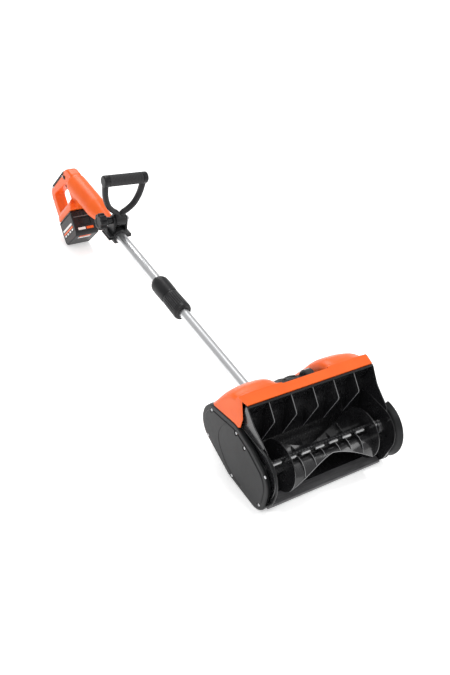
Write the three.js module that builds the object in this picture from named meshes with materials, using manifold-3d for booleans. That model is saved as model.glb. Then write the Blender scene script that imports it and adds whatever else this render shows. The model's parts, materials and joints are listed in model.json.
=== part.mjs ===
// Cordless snow thrower: a scoop head with a belt-driven rotor, a two-part telescopic tube,
// a bow handle clamped to the tube and a battery-powered rear handle.
//
// Tool frame, in millimetres: x to the right, y along the tube towards the user, z square to the tube.
// The tube's axis is y at x = 0, z = 0. At the end the whole tool is tilted until the head and the
// battery both touch the floor, and centred over its footprint.

import * as THREE from 'three';
import { mergeGeometries, mergeVertices } from 'three/addons/utils/BufferGeometryUtils.js';
import Module from 'manifold-3d';

const wasm = await Module();
wasm.setup();

// ---------------------------------------------------------------- driving dimensions

const gap = 0.3;                        // between pieces that touch
const runningGap = 0.6;                 // around pieces that turn or slide
const skin = 2.6;                       // moulded wall
const roundSteps = 24;                  // facets on a full circle

// Head, across x
const headWidth = 320;                  // over the outer faces of the side covers
const mouthWidth = 289;                 // between the end walls of the drum
const coverDepth = 9.4;                 // side cover, from its rim to its outer face

// Head, side view: the drum and what stands round it
const augerAxis = { y: -374, z: 62 };
const drumRadius = 62;                  // inside of the trough
const wallSetback = 8;                  // end wall's front edge inside the trough's radius
const hoodReach = 16;                   // from the drum back to the deflector's waist
const hoodWaistRise = 72;               // from the rotor's axis up to the waist
const hoodHeight = 38;                  // from the waist up to the top edge
const hoodOverhang = 7;                 // how far the top edge leans forward of the waist
const stripDepth = 23;                  // flat top of the orange cover, front to back
const hoodFlare = 7.6;                  // how far the deflector cheeks lean out
const flareRise = 43;                   // from the rotor's axis up to where the cheeks lean
const vaneCount = 5;
const vaneSpacing = 52;
const vaneThickness = 2.4;
const vaneNose = { y: -24, z: 13 };     // foremost point of a vane, from the top edge and waist
const centreBay = 112;                  // width of the black bay between the two humps
const coverSide = 3;                    // orange cover's flank, inside the head's outer face
const flankThickness = 1.8;

// Rotor
const rotorClearance = 9;               // between the rotor and the trough
const rotorHubRadius = 14;
const rotorEndGap = 5;                  // between the hub and an end wall
const plateEnd = 8;                     // plates stop short of the hub's ends
const rotorDiscAt = 104;                // from the middle to each disc
const rotorDisc = 2.8;
const rotorPlate = 2.8;
const plateSetback = 13;                // plate's edge inside the rotor's radius
const bladeSetback = 17;                // blade's edge at mid-width inside the rotor's radius
const bladeThickness = 2.6;
const plateAngle = 105;                 // degrees about the auger's axis
const bladeRootAngle = 128;
const bladeMiddleAngle = 146;
const bladeSweep = 60;                  // how far the blade trails at the discs
const gussetPlaces = [18, 44, 72];
const gussetThickness = 2;
const shaftDiameter = 12;

// Drive
const motorReach = 76;                  // from the drum back to the motor's axis
const motorDrop = 4;                    // motor's axis below the rotor's axis
const beltWidth = 5;
const beltThickness = 2.6;
const driveRadius = 7;
const drivenRadius = 24.5;
const flangeRise = 3.4;
const flangeWidth = 1.2;
const pulleyClearance = 1;              // between the end wall and the pulleys
const bearingDiameter = 28;
const bearingWidth = 7;
const motorDiameter = 60;
const motorLength = 92;
const motorShaftDiameter = 6;
const motorShaftDepth = 30;             // how far the shaft reaches into the motor
const bracketRim = 6;                   // motor bracket outside the motor
const saddleWidth = 12;
const cableDiameter = 6;

// Tubes, along y
const lowerTubeDiameter = 25;
const tubeWall = 1.2;
const upperTubeStart = 226;
const tubeOverlap = 114;                // lower tube inside the upper tube
const socketReach = 52;                 // from the drum back to the socket
const socketLength = 102;
const socketWall = 5.4;
const socketStop = 3;                   // floor that the lower tube stands on

// Twist lock
const lockWall = 9.5;
const lockSleeveReach = 76;             // sleeve in front of the upper tube's end
const lockBodyReach = 54;               // body behind the upper tube's end
const lockThread = 18;                  // overlap of sleeve and body

// Rear handle: the dock is the plane that the battery slides along.
// p runs down the dock, q runs square to it, away from the battery.
const handleAt = 622;                   // along the tube, where the barrel is full
const barrelRadius = 29;
const barrelLength = 148;
const noseLength = 71;
const noseWall = 2.7;
const tubeInHandle = 33;                // upper tube behind the start of the barrel
const dockPlace = { y: 94, z: -59 };    // from the start of the barrel
const dockAngle = THREE.MathUtils.degToRad(52);
const gripWidth = 32;
const shoeWidth = 66;
const shoeThickness = 18;
const loopLength = 145;                 // along p
const loopDepth = 118;                  // along q
const fingerHole = { p0: 8, p1: 116, q0: 27, q1: 84, q2: 93, round: 14 };
const handleWall = 2.8;
const padDepth = 4;                     // pad sunk into the grip
const triggerWidth = 11.2;
const lockOffRadius = 6;
const lockOffPlace = { p: 8, q: 101 };
const buttonProud = 3;                  // lock-off button outside the grip

// Bow handle
const bowFromNose = 48;                 // in front of the rear handle
const bowGripHeight = 158;
const bowWidth = 131;
const bowRod = 15;
const bowGripDiameter = 30;
const bowRoll = THREE.MathUtils.degToRad(3.4);
const clampLength = 44;
const clampWall = 6;
const clampFlange = 12;
const flangeThickness = 5;
const splitLine = 0.4;                  // each clamp half stops this far from the other
const hubRadius = 17;
const hubHalfWidth = 14;
const hubClearance = 3;                 // between the hub and the clamp
const earThickness = 6;
const boltDiameter = 8;
const knobDiameter = 44;
const knobWidth = 19;
const knobNeck = 20;
const knobLobes = 8;

// Battery
const batteryLength = 104;
const batteryHeight = 72;
const batteryWidth = 70;
const batteryCorner = 9;
const batteryTaper = 8;
const railWidth = 44;
const latch = { q0: -46, q1: -24, halfWidth: 17, depth: 7 };

// ---------------------------------------------------------------- derived places

const halfHead = headWidth / 2;
const halfMouth = mouthWidth / 2;
const endWallOuter = halfMouth + skin;
const troughFloor = augerAxis.z - drumRadius;
const wallRadius = drumRadius - wallSetback;
const rotorRadius = drumRadius - rotorClearance;
const lip = { y: augerAxis.y - 38, z: troughFloor + 1 };
const hoodWaist = { y: augerAxis.y + drumRadius + hoodReach, z: augerAxis.z + hoodWaistRise };
const hoodTop = { y: hoodWaist.y - hoodOverhang, z: hoodWaist.z + hoodHeight };
const flareStart = augerAxis.z + flareRise;
const motorAxis = { y: augerAxis.y + drumRadius + motorReach, z: augerAxis.z - motorDrop };
const socketStart = augerAxis.y + drumRadius + socketReach;
const socketEnd = socketStart + socketLength;
const lowerTubeStart = socketStart + 2 * socketStop;
const lowerTubeEnd = upperTubeStart + tubeOverlap;
const upperTubeDiameter = lowerTubeDiameter + 2 * (tubeWall + gap);
const upperTubeEnd = handleAt + tubeInHandle;
const lockDiameter = upperTubeDiameter + 2 * lockWall;
const lockStart = upperTubeStart - lockSleeveReach;
const lockEnd = upperTubeStart + lockBodyReach;
const noseStart = handleAt - noseLength;
const noseRadius = upperTubeDiameter / 2 + gap + noseWall;
const barrelEnd = handleAt + barrelLength;
const bowAt = noseStart - bowFromNose;
const bowPivotHeight = upperTubeDiameter / 2 + clampWall + hubClearance + hubRadius;
const dockAt = { y: handleAt + dockPlace.y, z: dockPlace.z };
const coverInner = halfHead - coverDepth;
const rimOuter = coverInner - gap;
const facet = 2 * Math.PI / roundSteps;
const facetShrink = Math.cos(facet / 2);
const dockDown = { y: Math.cos(dockAngle), z: -Math.sin(dockAngle) };
const dockBack = { y: Math.sin(dockAngle), z: Math.cos(dockAngle) };

// A point in the rear handle's own p, q frame, as a point of the side view.
function dock(p, q) {
  const y = dockAt.y + p * dockDown.y + q * dockBack.y;
  const z = dockAt.z + p * dockDown.z + q * dockBack.z;
  return new THREE.Vector2(y, z);
}

function around(axis, dy, dz, r) {
  return { y: axis.y + dy, z: axis.z + dz, r };
}

// Circles whose common hull is the outline of a side cover. The skid is the lowest of them.
const skidCircle = around(augerAxis, -12, 22 - drumRadius, 35);
const coverCircles = [
  skidCircle,
  around(augerAxis, 6, -20, drumRadius - 10),
  around(augerAxis, drumRadius - 23, 0, drumRadius - 18),
  around(augerAxis, drumRadius + 20, 4, 47),
  around(augerAxis, drumRadius + 5, 20 - drumRadius, 35),
  around(motorAxis, 4, -6, motorDiameter / 2 + 16),
];

// The same outline for the end walls, whose front edge carries the mouth's ring.
const panCircles = [
  around(augerAxis, 0, 0, wallRadius),
  around(augerAxis, -12, 21 - drumRadius, 34),
  around(augerAxis, drumRadius + 20, 4, 48),
  around(augerAxis, drumRadius + 5, 20 - drumRadius, 35.5),
  around(motorAxis, 4, -6, motorDiameter / 2 + 17),
];

const batteryFoot = dock(batteryLength - batteryCorner, batteryCorner - batteryHeight);

// Tilt at which the skid circle and the battery's corner stand on one floor.
function restingTilt() {
  const dy = batteryFoot.x - skidCircle.y;
  const dz = batteryFoot.y - skidCircle.z;
  const drop = (batteryCorner - skidCircle.r) * facetShrink;
  return Math.asin(drop / Math.hypot(dy, dz)) - Math.atan2(dz, dy);
}
const tilt = restingTilt();
const floorward = -Math.PI / 2 - tilt;

// ---------------------------------------------------------------- materials

function material(colour, roughness, metalness = 0) {
  return new THREE.MeshStandardMaterial({ color: colour, roughness, metalness });
}

const finishes = {
  orange: () => material(0xf2561d, 0.42),
  black: () => material(0x17181a, 0.35),
  satinBlack: () => material(0x2a2b2e, 0.55),
  rubber: () => material(0x1c1c1e, 0.85),
  aluminium: () => material(0xc9cbce, 0.38, 0.9),
  steel: () => material(0xa4a7ab, 0.35, 1),
  blade: () => material(0x6d7073, 0.5),
  battery: () => material(0x333539, 0.6),
  copper: () => material(0xb4793c, 0.4, 1),
  board: () => material(0x2f5d3a, 0.6),
};

// ---------------------------------------------------------------- solids

// Closed geometry to a manifold: shared vertices merged, empty triangles dropped.
function solid(geometry) {
  const bare = geometry.index ? geometry.toNonIndexed() : geometry.clone();
  bare.deleteAttribute('normal');
  bare.deleteAttribute('uv');
  const merged = mergeVertices(bare, 1e-4);
  const index = merged.index.array;
  const kept = [];
  for (let i = 0; i < index.length; i += 3) {
    const [a, b, c] = [index[i], index[i + 1], index[i + 2]];
    if (a !== b && b !== c && c !== a) kept.push(a, b, c);
  }
  const vertProperties = new Float32Array(merged.attributes.position.array);
  const triVerts = new Uint32Array(kept);
  return new wasm.Manifold(new wasm.Mesh({ numProp: 3, vertProperties, triVerts }));
}

function join(first, ...others) {
  return others.reduce((sum, next) => sum.add(next), first);
}

function cut(first, ...others) {
  return others.reduce((left, next) => left.subtract(next), first);
}

function toGeometry(manifold) {
  const { vertProperties, triVerts } = manifold.getMesh();
  const geometry = new THREE.BufferGeometry();
  geometry.setAttribute('position', new THREE.BufferAttribute(new Float32Array(vertProperties), 3));
  geometry.setIndex(new THREE.BufferAttribute(new Uint32Array(triVerts), 1));
  const flat = geometry.toNonIndexed();
  flat.computeVertexNormals();
  return flat;
}

function piece(name, manifold, finish) {
  const mesh = new THREE.Mesh(toGeometry(manifold), finishes[finish]());
  mesh.name = name;
  return mesh;
}

// Side-view shape (u = y, v = z) pulled across x from x0 to x1.
function pulled(shape, x0, x1, segments = 8) {
  const geometry = new THREE.ExtrudeGeometry(shape, {
    depth: x1 - x0,
    bevelEnabled: false,
    curveSegments: segments,
  });
  const basis = new THREE.Matrix4().makeBasis(
    new THREE.Vector3(0, 1, 0),
    new THREE.Vector3(0, 0, 1),
    new THREE.Vector3(1, 0, 0),
  );
  geometry.applyMatrix4(basis);
  geometry.translate(x0, 0, 0);
  return solid(geometry);
}

// Profile of [along, radius] pairs turned about the tube axis.
function turnedAlongTube(profile, steps = roundSteps) {
  const points = profile.map(([along, radius]) => new THREE.Vector2(radius, along));
  return solid(new THREE.LatheGeometry(points, steps));
}

// Profile of [across, radius] pairs turned about a line across x.
function turnedAcross(profile, axis, steps = roundSteps) {
  const points = profile.map(([across, radius]) => new THREE.Vector2(radius, across));
  const geometry = new THREE.LatheGeometry(points, steps);
  geometry.rotateZ(-Math.PI / 2);
  geometry.translate(0, axis.y, axis.z);
  return solid(geometry);
}

// Ring or rod profile between two stations, with an optional bore.
function barrel(from, to, radius, bore = 0) {
  return [[from, bore], [from, radius], [to, radius], [to, bore], [from, bore]];
}

function rod(from, to, radius) {
  return [[from, 0], [from, radius], [to, radius], [to, 0]];
}

function box(x0, x1, y0, y1, z0, z1) {
  const geometry = new THREE.BoxGeometry(x1 - x0, y1 - y0, z1 - z0);
  geometry.translate((x0 + x1) / 2, (y0 + y1) / 2, (z0 + z1) / 2);
  return solid(geometry);
}

function shapeOf(points) {
  return new THREE.Shape(points.map((p) => new THREE.Vector2(p.x ?? p[0], p.y ?? p[1])));
}

// Convex hull (monotone chain) of circles, each grown by `grow`. One facet faces the floor.
function hullShape(circles, grow = 0) {
  const points = [];
  for (const c of circles) {
    for (let i = 0; i < roundSteps; i += 1) {
      const a = floorward + (i + 0.5) * facet;
      const r = c.r + grow;
      points.push([c.y + r * Math.cos(a), c.z + r * Math.sin(a)]);
    }
  }
  points.sort((a, b) => a[0] - b[0] || a[1] - b[1]);
  const turn = (o, a, b) => (a[0] - o[0]) * (b[1] - o[1]) - (a[1] - o[1]) * (b[0] - o[0]);
  const chain = (list) => {
    const hull = [];
    for (const p of list) {
      while (hull.length > 1 && turn(hull.at(-2), hull.at(-1), p) <= 0.02) hull.pop();
      hull.push(p);
    }
    hull.pop();
    return hull;
  };
  return shapeOf([...chain(points), ...chain([...points].reverse())]);
}

function arcPoints(centre, radius, from, to, steps) {
  const points = [];
  for (let i = 0; i <= steps; i += 1) {
    const a = THREE.MathUtils.degToRad(from + (to - from) * i / steps);
    points.push([centre.y + radius * Math.cos(a), centre.z + radius * Math.sin(a)]);
  }
  return points;
}

// Wall that follows a path in the side view, between two offsets to the path's left.
function wallShape(path, from, to) {
  const offset = (distance) => path.map((point, i) => {
    const before = path[Math.max(i - 1, 0)];
    const after = path[Math.min(i + 1, path.length - 1)];
    const into = new THREE.Vector2(point[0] - before[0], point[1] - before[1]).normalize();
    const out = new THREE.Vector2(after[0] - point[0], after[1] - point[1]).normalize();
    const along = into.clone().add(out).normalize();
    const mitre = i > 0 && i < path.length - 1 ? along.dot(out) : 1;
    const reach = distance / mitre;
    return [point[0] - along.y * reach, point[1] + along.x * reach];
  });
  return shapeOf([...offset(from), ...offset(to).reverse()]);
}

// ---------------------------------------------------------------- head: shell pieces

const troughPath = [
  [lip.y, lip.z],
  ...arcPoints(augerAxis, drumRadius, -92, 6, 10),
  [hoodWaist.y, hoodWaist.z],
  [hoodTop.y, hoodTop.z],
];

// Rear outline of the orange cover, from the front of its flat top to its lower edge.
const coverTop = hoodTop.z + skin + 1;
const humpReach = motorAxis.y + motorDiameter / 2;
const humpRise = motorAxis.z + motorDiameter / 2;
const coverPath = [
  [hoodTop.y + 1, coverTop],
  [hoodTop.y + 1 + stripDepth, coverTop],
  [hoodTop.y + 39, hoodTop.z - 8],
  [hoodTop.y + 57, hoodTop.z - 23],
  [humpReach - 18, humpRise + 39],
  [humpReach + 5, humpRise + 8],
  [humpReach + 25, motorAxis.z + 6],
  [humpReach + 28, motorAxis.z - 14],
  [humpReach + 23, motorAxis.z - 34],
  [humpReach + 12, motorAxis.z - 49],
];

function vaneShape() {
  const top = [hoodTop.y + 2, hoodTop.z - 1];
  const nose = [hoodTop.y + vaneNose.y, hoodWaist.z + vaneNose.z];
  const foot = arcPoints(augerAxis, drumRadius + 1, 4, 4, 1)[0];
  return shapeOf([top, nose, foot, [hoodWaist.y + 2, hoodWaist.z]]);
}

const cheekLean = Math.atan2(hoodFlare, hoodTop.z - flareStart);

// A plate in the leaning plane of a cheek. Its outline is drawn in side-view heights.
function leaningPlate(outline, from, to, side) {
  const up = (z) => (z - flareStart) / Math.cos(cheekLean);
  const shape = shapeOf(outline.map(([y, z]) => [y, up(z)]));
  const geometry = new THREE.ExtrudeGeometry(shape, { depth: to - from, bevelEnabled: false });
  geometry.translate(0, 0, from);
  geometry.applyMatrix4(new THREE.Matrix4().makeBasis(
    new THREE.Vector3(0, 1, 0),
    new THREE.Vector3(Math.sin(cheekLean), 0, Math.cos(cheekLean)),
    new THREE.Vector3(Math.cos(cheekLean), 0, -Math.sin(cheekLean)),
  ));
  geometry.translate(halfMouth, 0, flareStart);
  const right = solid(geometry);
  return side > 0 ? right : right.mirror([1, 0, 0]);
}

function cheek(side) {
  const outline = [
    [augerAxis.y - 14, flareStart - 6],
    [augerAxis.y - 6, flareStart + 16],
    [hoodTop.y - 31, hoodTop.z - 27],
    [hoodTop.y - 2, hoodTop.z],
    [hoodTop.y + 3, hoodTop.z],
    [hoodWaist.y + 2, hoodWaist.z],
    [hoodWaist.y - 8, flareStart - 6],
  ];
  return leaningPlate(outline, 0, skin, side);
}

// Everything outside a cheek's outer face, to trim the hood.
function outsideCheek(side) {
  const reach = 120;
  const outline = [
    [hoodTop.y - reach, flareStart - reach],
    [hoodTop.y + reach, flareStart - reach],
    [hoodTop.y + reach, hoodTop.z + reach],
    [hoodTop.y - reach, hoodTop.z + reach],
  ];
  return leaningPlate(outline, skin, reach, side);
}

function endWall(side) {
  const outer = hullShape(panCircles);
  const plate = pulled(outer, halfMouth, endWallOuter);
  const rim = pulled(outer, halfMouth, rimOuter).subtract(
    pulled(hullShape(panCircles, -skin), halfMouth - 1, rimOuter + 1),
  );
  const right = join(plate, rim);
  return side > 0 ? right : right.mirror([1, 0, 0]);
}

function augerHousing() {
  const trough = pulled(wallShape(troughPath, -skin, 0), -halfMouth - 1, halfMouth + 1);
  const hood = pulled(
    wallShape([[hoodWaist.y - 7, flareStart - 6], ...troughPath.slice(-2)], -skin, 0),
    -halfMouth - hoodFlare,
    halfMouth + hoodFlare,
  );
  const trimmedHood = cut(hood, outsideCheek(1), outsideCheek(-1));
  const vanes = [];
  for (let i = 0; i < vaneCount; i += 1) {
    const x = (i - (vaneCount - 1) / 2) * vaneSpacing;
    vanes.push(pulled(vaneShape(), x - vaneThickness / 2, x + vaneThickness / 2));
  }
  const shell = join(trough, trimmedHood, endWall(1), endWall(-1), cheek(1), cheek(-1), ...vanes);
  const bearingBore = turnedAcross(
    rod(-rimOuter, rimOuter, bearingDiameter / 2 + gap),
    augerAxis,
  );
  const motorHole = turnedAcross(rod(-rimOuter, -halfMouth + 1, driveRadius + 3), motorAxis);
  return cut(shell, bearingBore, motorHole);
}

function sideCover(side) {
  const outer = pulled(hullShape(coverCircles), coverInner, halfHead);
  const hollow = pulled(hullShape(coverCircles, -skin), coverInner - 1, halfHead - skin);
  const right = cut(outer, hollow);
  return side > 0 ? right : right.mirror([1, 0, 0]);
}

function topCover() {
  const halfCover = halfHead - coverSide;
  const skinPath = wallShape(coverPath, -skin, 0);
  const roof = pulled(skinPath, -halfCover, halfCover);
  const filled = shapeOf([
    ...coverPath,
    [motorAxis.y, motorAxis.z],
    [hoodTop.y - 1, hoodWaist.z - 16],
  ]);
  const flank = pulled(filled, halfCover - flankThickness, halfCover);
  const bothFlanks = join(roof, flank, flank.mirror([1, 0, 0]));
  const coverRoom = pulled(hullShape(coverCircles, gap), -halfHead, halfHead);
  const panRoom = pulled(hullShape(panCircles, gap), -rimOuter - gap, rimOuter + gap);
  const bay = box(
    -centreBay / 2, centreBay / 2,
    hoodTop.y + 1 + stripDepth, socketEnd,
    -40, hoodTop.z + 40,
  );
  return cut(bothFlanks, coverRoom, panRoom, bay);
}

function bellyPath() {
  return [
    [augerAxis.y + 22, troughFloor - 5],
    [hoodWaist.y - hoodReach, troughFloor - 12.5],
    [hoodWaist.y + 8, troughFloor - 12.5],
    [motorAxis.y + 14, troughFloor],
    [motorAxis.y + 36, troughFloor + 7],
  ];
}

function bellyPlate() {
  const plate = pulled(wallShape(bellyPath(), 0, skin), -halfMouth + 1, halfMouth - 1);
  const troughRoom = turnedAcross(
    rod(-halfMouth, halfMouth, drumRadius + skin + gap),
    augerAxis,
  );
  const socketRoom = box(
    -socketRadius - 1, socketRadius + 1,
    socketStart - 1, 0,
    -40, 40,
  );
  return cut(plate, troughRoom, socketRoom);
}

function scraperBlade() {
  const top = lip.z - skin - gap;
  const profile = shapeOf([
    [lip.y - 3, lip.z - 2.4],
    [lip.y - 2, lip.z + 1.6],
    [lip.y - gap, lip.z + 1.6],
    [lip.y - gap, top],
    [lip.y + 32, top - 1.5],
    [lip.y + 32, top - 4],
    [lip.y + 6, top - 4],
  ]);
  return pulled(profile, -halfMouth + 2, halfMouth - 2);
}

// ---------------------------------------------------------------- head: tube socket

const socketRadius = lowerTubeDiameter / 2 + gap + socketWall;

const lugAxis = { y: hoodTop.y + 47, z: hoodTop.z - 26 };
const lugRadius = 17;
const bayRibs = { count: 9, spacing: 9, width: 3, rise: 5 };
const webPlace = 12;                    // from the middle to each web

// Surface of the bay, a little under the orange cover's outline.
function bayPath() {
  const path = coverPath.slice(1);
  path[0] = [hoodTop.y + 1 + stripDepth + gap, coverTop - 3];
  return path;
}

// Web that carries the sleeve. Its top edge runs inside the bay's sheet.
function socketWeb(x) {
  const foot = lowerTubeDiameter / 2 + 1.5;
  const under = bayPath().slice(2, 7).map(([y, z]) => [y - 2, z - 1]);
  const web = shapeOf([
    [socketStart + 8, foot],
    ...under,
    [under.at(-1)[0], foot],
  ]);
  return pulled(web, x - skin / 2, x + skin / 2);
}

function tubeSocket() {
  const bore = lowerTubeDiameter / 2 + gap;
  const sleeve = turnedAlongTube(barrel(socketStart, socketEnd, socketRadius, bore));
  const collar = turnedAlongTube(
    barrel(socketStart, socketStart + socketStop, socketRadius, cableDiameter),
  );
  const path = bayPath();
  const bayHalf = centreBay / 2 - gap;
  const bay = pulled(wallShape(path, -skin, 0), -bayHalf, bayHalf);
  const webs = [-webPlace, webPlace].map(socketWeb);
  const ribShape = wallShape(path.slice(0, 5), -skin / 2, bayRibs.rise);
  const ribs = [];
  for (let i = 0; i < bayRibs.count; i += 1) {
    const x = -bayHalf + 2 + i * bayRibs.spacing;
    ribs.push(pulled(ribShape, x, x + bayRibs.width));
  }
  const lug = turnedAcross(rod(26, 50, lugRadius), lugAxis);
  const underside = shapeOf([
    [augerAxis.y, 0],
    [augerAxis.y, hoodTop.z],
    ...path.map(([y, z]) => [y - 2, z - 1]),
  ]);
  const lugOut = cut(lug, pulled(underside, -halfHead, halfHead));
  const body = join(sleeve, collar, bay, ...webs, ...ribs, lugOut);
  const tubeRoom = turnedAlongTube(rod(socketStart + socketStop, socketEnd + 60, bore));
  return cut(body, tubeRoom);
}

// ---------------------------------------------------------------- head: drive and rotor

const pulleyStart = endWallOuter + pulleyClearance;
const pulleyWidth = beltWidth + 2 * flangeWidth + 2 * gap;

function pulley(radius, bore) {
  const x0 = pulleyStart;
  const x1 = x0 + flangeWidth;
  const x3 = x0 + pulleyWidth;
  const x2 = x3 - flangeWidth;
  const rim = radius + flangeRise;
  return [
    [x0, bore], [x0, rim], [x1, rim], [x1, radius],
    [x2, radius], [x2, rim], [x3, rim], [x3, bore], [x0, bore],
  ].map(([x, r]) => [-x, r]).reverse();
}

function driveBelt() {
  const loops = (grow) => hullShape([
    { ...augerAxis, r: drivenRadius / facetShrink + grow },
    { ...motorAxis, r: driveRadius / facetShrink + grow },
  ]);
  const x1 = -(pulleyStart + flangeWidth + gap);
  const x0 = x1 - beltWidth;
  return cut(
    pulled(loops(gap + beltThickness), x0, x1),
    pulled(loops(gap), x0 - 1, x1 + 1),
  );
}

// One point of a rotor section, by radius and angle about the auger's axis.
function polar(radius, degrees) {
  const a = THREE.MathUtils.degToRad(degrees);
  return [augerAxis.y + radius * Math.cos(a), augerAxis.z + radius * Math.sin(a)];
}

// Edge of a chevron blade: it leads at mid-width and trails towards the discs.
function bladeEdge(x) {
  const share = (Math.abs(x) / rotorDiscAt) ** 1.4;
  return {
    radius: rotorRadius - bladeSetback + (bladeSetback - 1) * share,
    angle: bladeMiddleAngle + bladeSweep * share,
  };
}

// A curved blade: sections at stations across x, skinned into one closed body.
function chevronBlade() {
  const stations = 10;
  const sections = [];
  for (let i = 0; i <= stations; i += 1) {
    const x = -rotorDiscAt + 2 * rotorDiscAt * i / stations;
    const { radius, angle } = bladeEdge(x);
    const front = [];
    const back = [];
    for (let k = 0; k <= 3; k += 1) {
      const share = k / 3;
      const r = (rotorHubRadius - 2) + (radius - rotorHubRadius + 2) * share;
      const a = bladeRootAngle + (angle - bladeRootAngle) * share ** 1.4;
      const half = THREE.MathUtils.radToDeg(bladeThickness / 2 / r);
      front.push(polar(r, a - half));
      back.push(polar(r, a + half));
    }
    sections.push([...front, ...back.reverse()].map(([y, z]) => [x, y, z]));
  }
  const count = sections[0].length;
  const vertices = sections.flat(2);
  const faces = [];
  for (let i = 0; i < stations; i += 1) {
    for (let k = 0; k < count; k += 1) {
      const a = i * count + k;
      const b = i * count + (k + 1) % count;
      faces.push(a, b, b + count, a, b + count, a + count);
    }
  }
  const last = stations * count;
  for (let k = 1; k < count - 1; k += 1) {
    faces.push(0, k + 1, k);
    faces.push(last, last + k, last + k + 1);
  }
  const geometry = new THREE.BufferGeometry();
  geometry.setAttribute('position', new THREE.Float32BufferAttribute(vertices, 3));
  geometry.setIndex(faces);
  return solid(geometry);
}

function gusset(x) {
  const { radius, angle } = bladeEdge(x);
  const steps = 5;
  const rim = [];
  for (let i = 0; i <= steps; i += 1) {
    const share = i / steps;
    rim.push(polar(
      rotorHubRadius + 4 + (radius - rotorHubRadius - 4) * share ** 0.8,
      plateAngle + (angle - plateAngle) * share,
    ));
  }
  const shape = shapeOf([polar(4, plateAngle), ...rim]);
  return pulled(shape, x - gussetThickness / 2, x + gussetThickness / 2);
}

function halfTurn(manifold) {
  return manifold
    .translate([0, -augerAxis.y, -augerAxis.z])
    .rotate([180, 0, 0])
    .translate([0, augerAxis.y, augerAxis.z]);
}

function augerRotor() {
  const reach = halfMouth - rotorEndGap;
  const hub = turnedAcross(rod(-reach, reach, rotorHubRadius), augerAxis, 20);
  const discs = [-1, 1].map((s) => turnedAcross(
    rod(s * rotorDiscAt - rotorDisc / 2, s * rotorDiscAt + rotorDisc / 2, rotorRadius),
    augerAxis,
  ));
  const plateShape = wallShape([polar(4, plateAngle), polar(rotorRadius - plateSetback, plateAngle)], 0, rotorPlate);
  const plate = pulled(plateShape, -reach + plateEnd, reach - plateEnd);
  const gussets = gussetPlaces.flatMap((x) => [gusset(-x), gusset(x)]);
  const paddle = join(plate, chevronBlade(), ...gussets);
  const body = join(hub, ...discs, paddle, halfTurn(paddle));
  const bore = turnedAcross(rod(-halfMouth, halfMouth, shaftDiameter / 2 + gap), augerAxis, 20);
  return cut(body, bore);
}

function augerShaft() {
  return turnedAcross(rod(-coverInner, coverInner, shaftDiameter / 2), augerAxis, 20);
}

function bearing(side) {
  const bore = shaftDiameter / 2 + gap;
  const from = endWallOuter - bearingWidth;
  const right = turnedAcross(
    barrel(from, from + bearingWidth, bearingDiameter / 2, bore),
    augerAxis,
  );
  return side > 0 ? right : right.mirror([1, 0, 0]);
}

const motorFace = -halfMouth + 4;

function motor() {
  const body = turnedAcross([
    [motorFace, 0],
    [motorFace, motorDiameter / 2],
    [motorFace + motorLength - 8, motorDiameter / 2],
    [motorFace + motorLength, motorDiameter / 2 - 6],
    [motorFace + motorLength, 0],
  ], motorAxis, 24);
  const bore = motorShaftDiameter / 2 + gap;
  return cut(body, turnedAcross(rod(motorFace - 1, motorFace + motorShaftDepth + gap, bore), motorAxis, 16));
}

function motorShaft() {
  const tip = -(pulleyStart + pulleyWidth + 1);
  return turnedAcross(rod(tip, motorFace + motorShaftDepth, motorShaftDiameter / 2), motorAxis, 16);
}

function motorBracket() {
  const plate = pulled(
    hullShape([around(motorAxis, 0, 0, motorDiameter / 2 + bracketRim)]),
    -halfMouth + gap,
    motorFace - gap,
  );
  const hole = turnedAcross(rod(-halfMouth, motorFace, motorShaftDiameter), motorAxis, 16);
  return cut(plate, hole);
}

// Saddle that carries the motor's free end on the belly plate.
function motorSaddle() {
  const x0 = motorFace + motorLength - 2 * saddleWidth - 2;
  const x1 = x0 + saddleWidth;
  const reach = motorDiameter / 2 + bracketRim;
  const block = pulled(shapeOf([
    [motorAxis.y - reach, troughFloor - 1],
    [motorAxis.y + reach - 20, troughFloor + 7],
    [motorAxis.y + reach - 2, motorAxis.z],
    [motorAxis.y - reach, motorAxis.z],
  ]), x0, x1);
  const room = turnedAcross(rod(x0 - 1, x1 + 1, motorDiameter / 2 + gap), motorAxis, 24);
  return cut(block, room);
}

// Lead from the motor's end through the socket into the lower tube.
function motorCable() {
  const start = motorFace + motorLength + 1;
  const entry = socketStart - 22;
  const points = [
    [start, motorAxis.y - 6, motorAxis.z - 4],
    [start + 6, motorAxis.y - 6, motorAxis.z - 4],
    [start + 14, motorAxis.y - 26, motorAxis.z - 12],
    [-16, entry - 6, 34],
    [-7, entry - 18, 14],
    [-2, entry - 10, 3],
    [0, entry + 4, 0],
    [0, socketStart + 10, 0],
    [0, lowerTubeEnd - 30, 0],
  ].map(([x, y, z]) => new THREE.Vector3(x, y, z));
  const path = new THREE.CatmullRomCurve3(points, false, 'centripetal');
  const section = new THREE.Shape().absarc(0, 0, cableDiameter / 2, 0, 2 * Math.PI, false);
  const geometry = new THREE.ExtrudeGeometry(section, {
    steps: 36,
    curveSegments: 4,
    bevelEnabled: false,
    extrudePath: path,
  });
  return solid(geometry);
}

// ---------------------------------------------------------------- tubes and twist lock

function lowerTube() {
  const r = lowerTubeDiameter / 2;
  return turnedAlongTube(barrel(lowerTubeStart, lowerTubeEnd, r, r - tubeWall));
}

function upperTube() {
  const r = upperTubeDiameter / 2;
  return turnedAlongTube(barrel(upperTubeStart, upperTubeEnd, r, r - tubeWall));
}

const lockBodyStart = upperTubeStart - 30;

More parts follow.
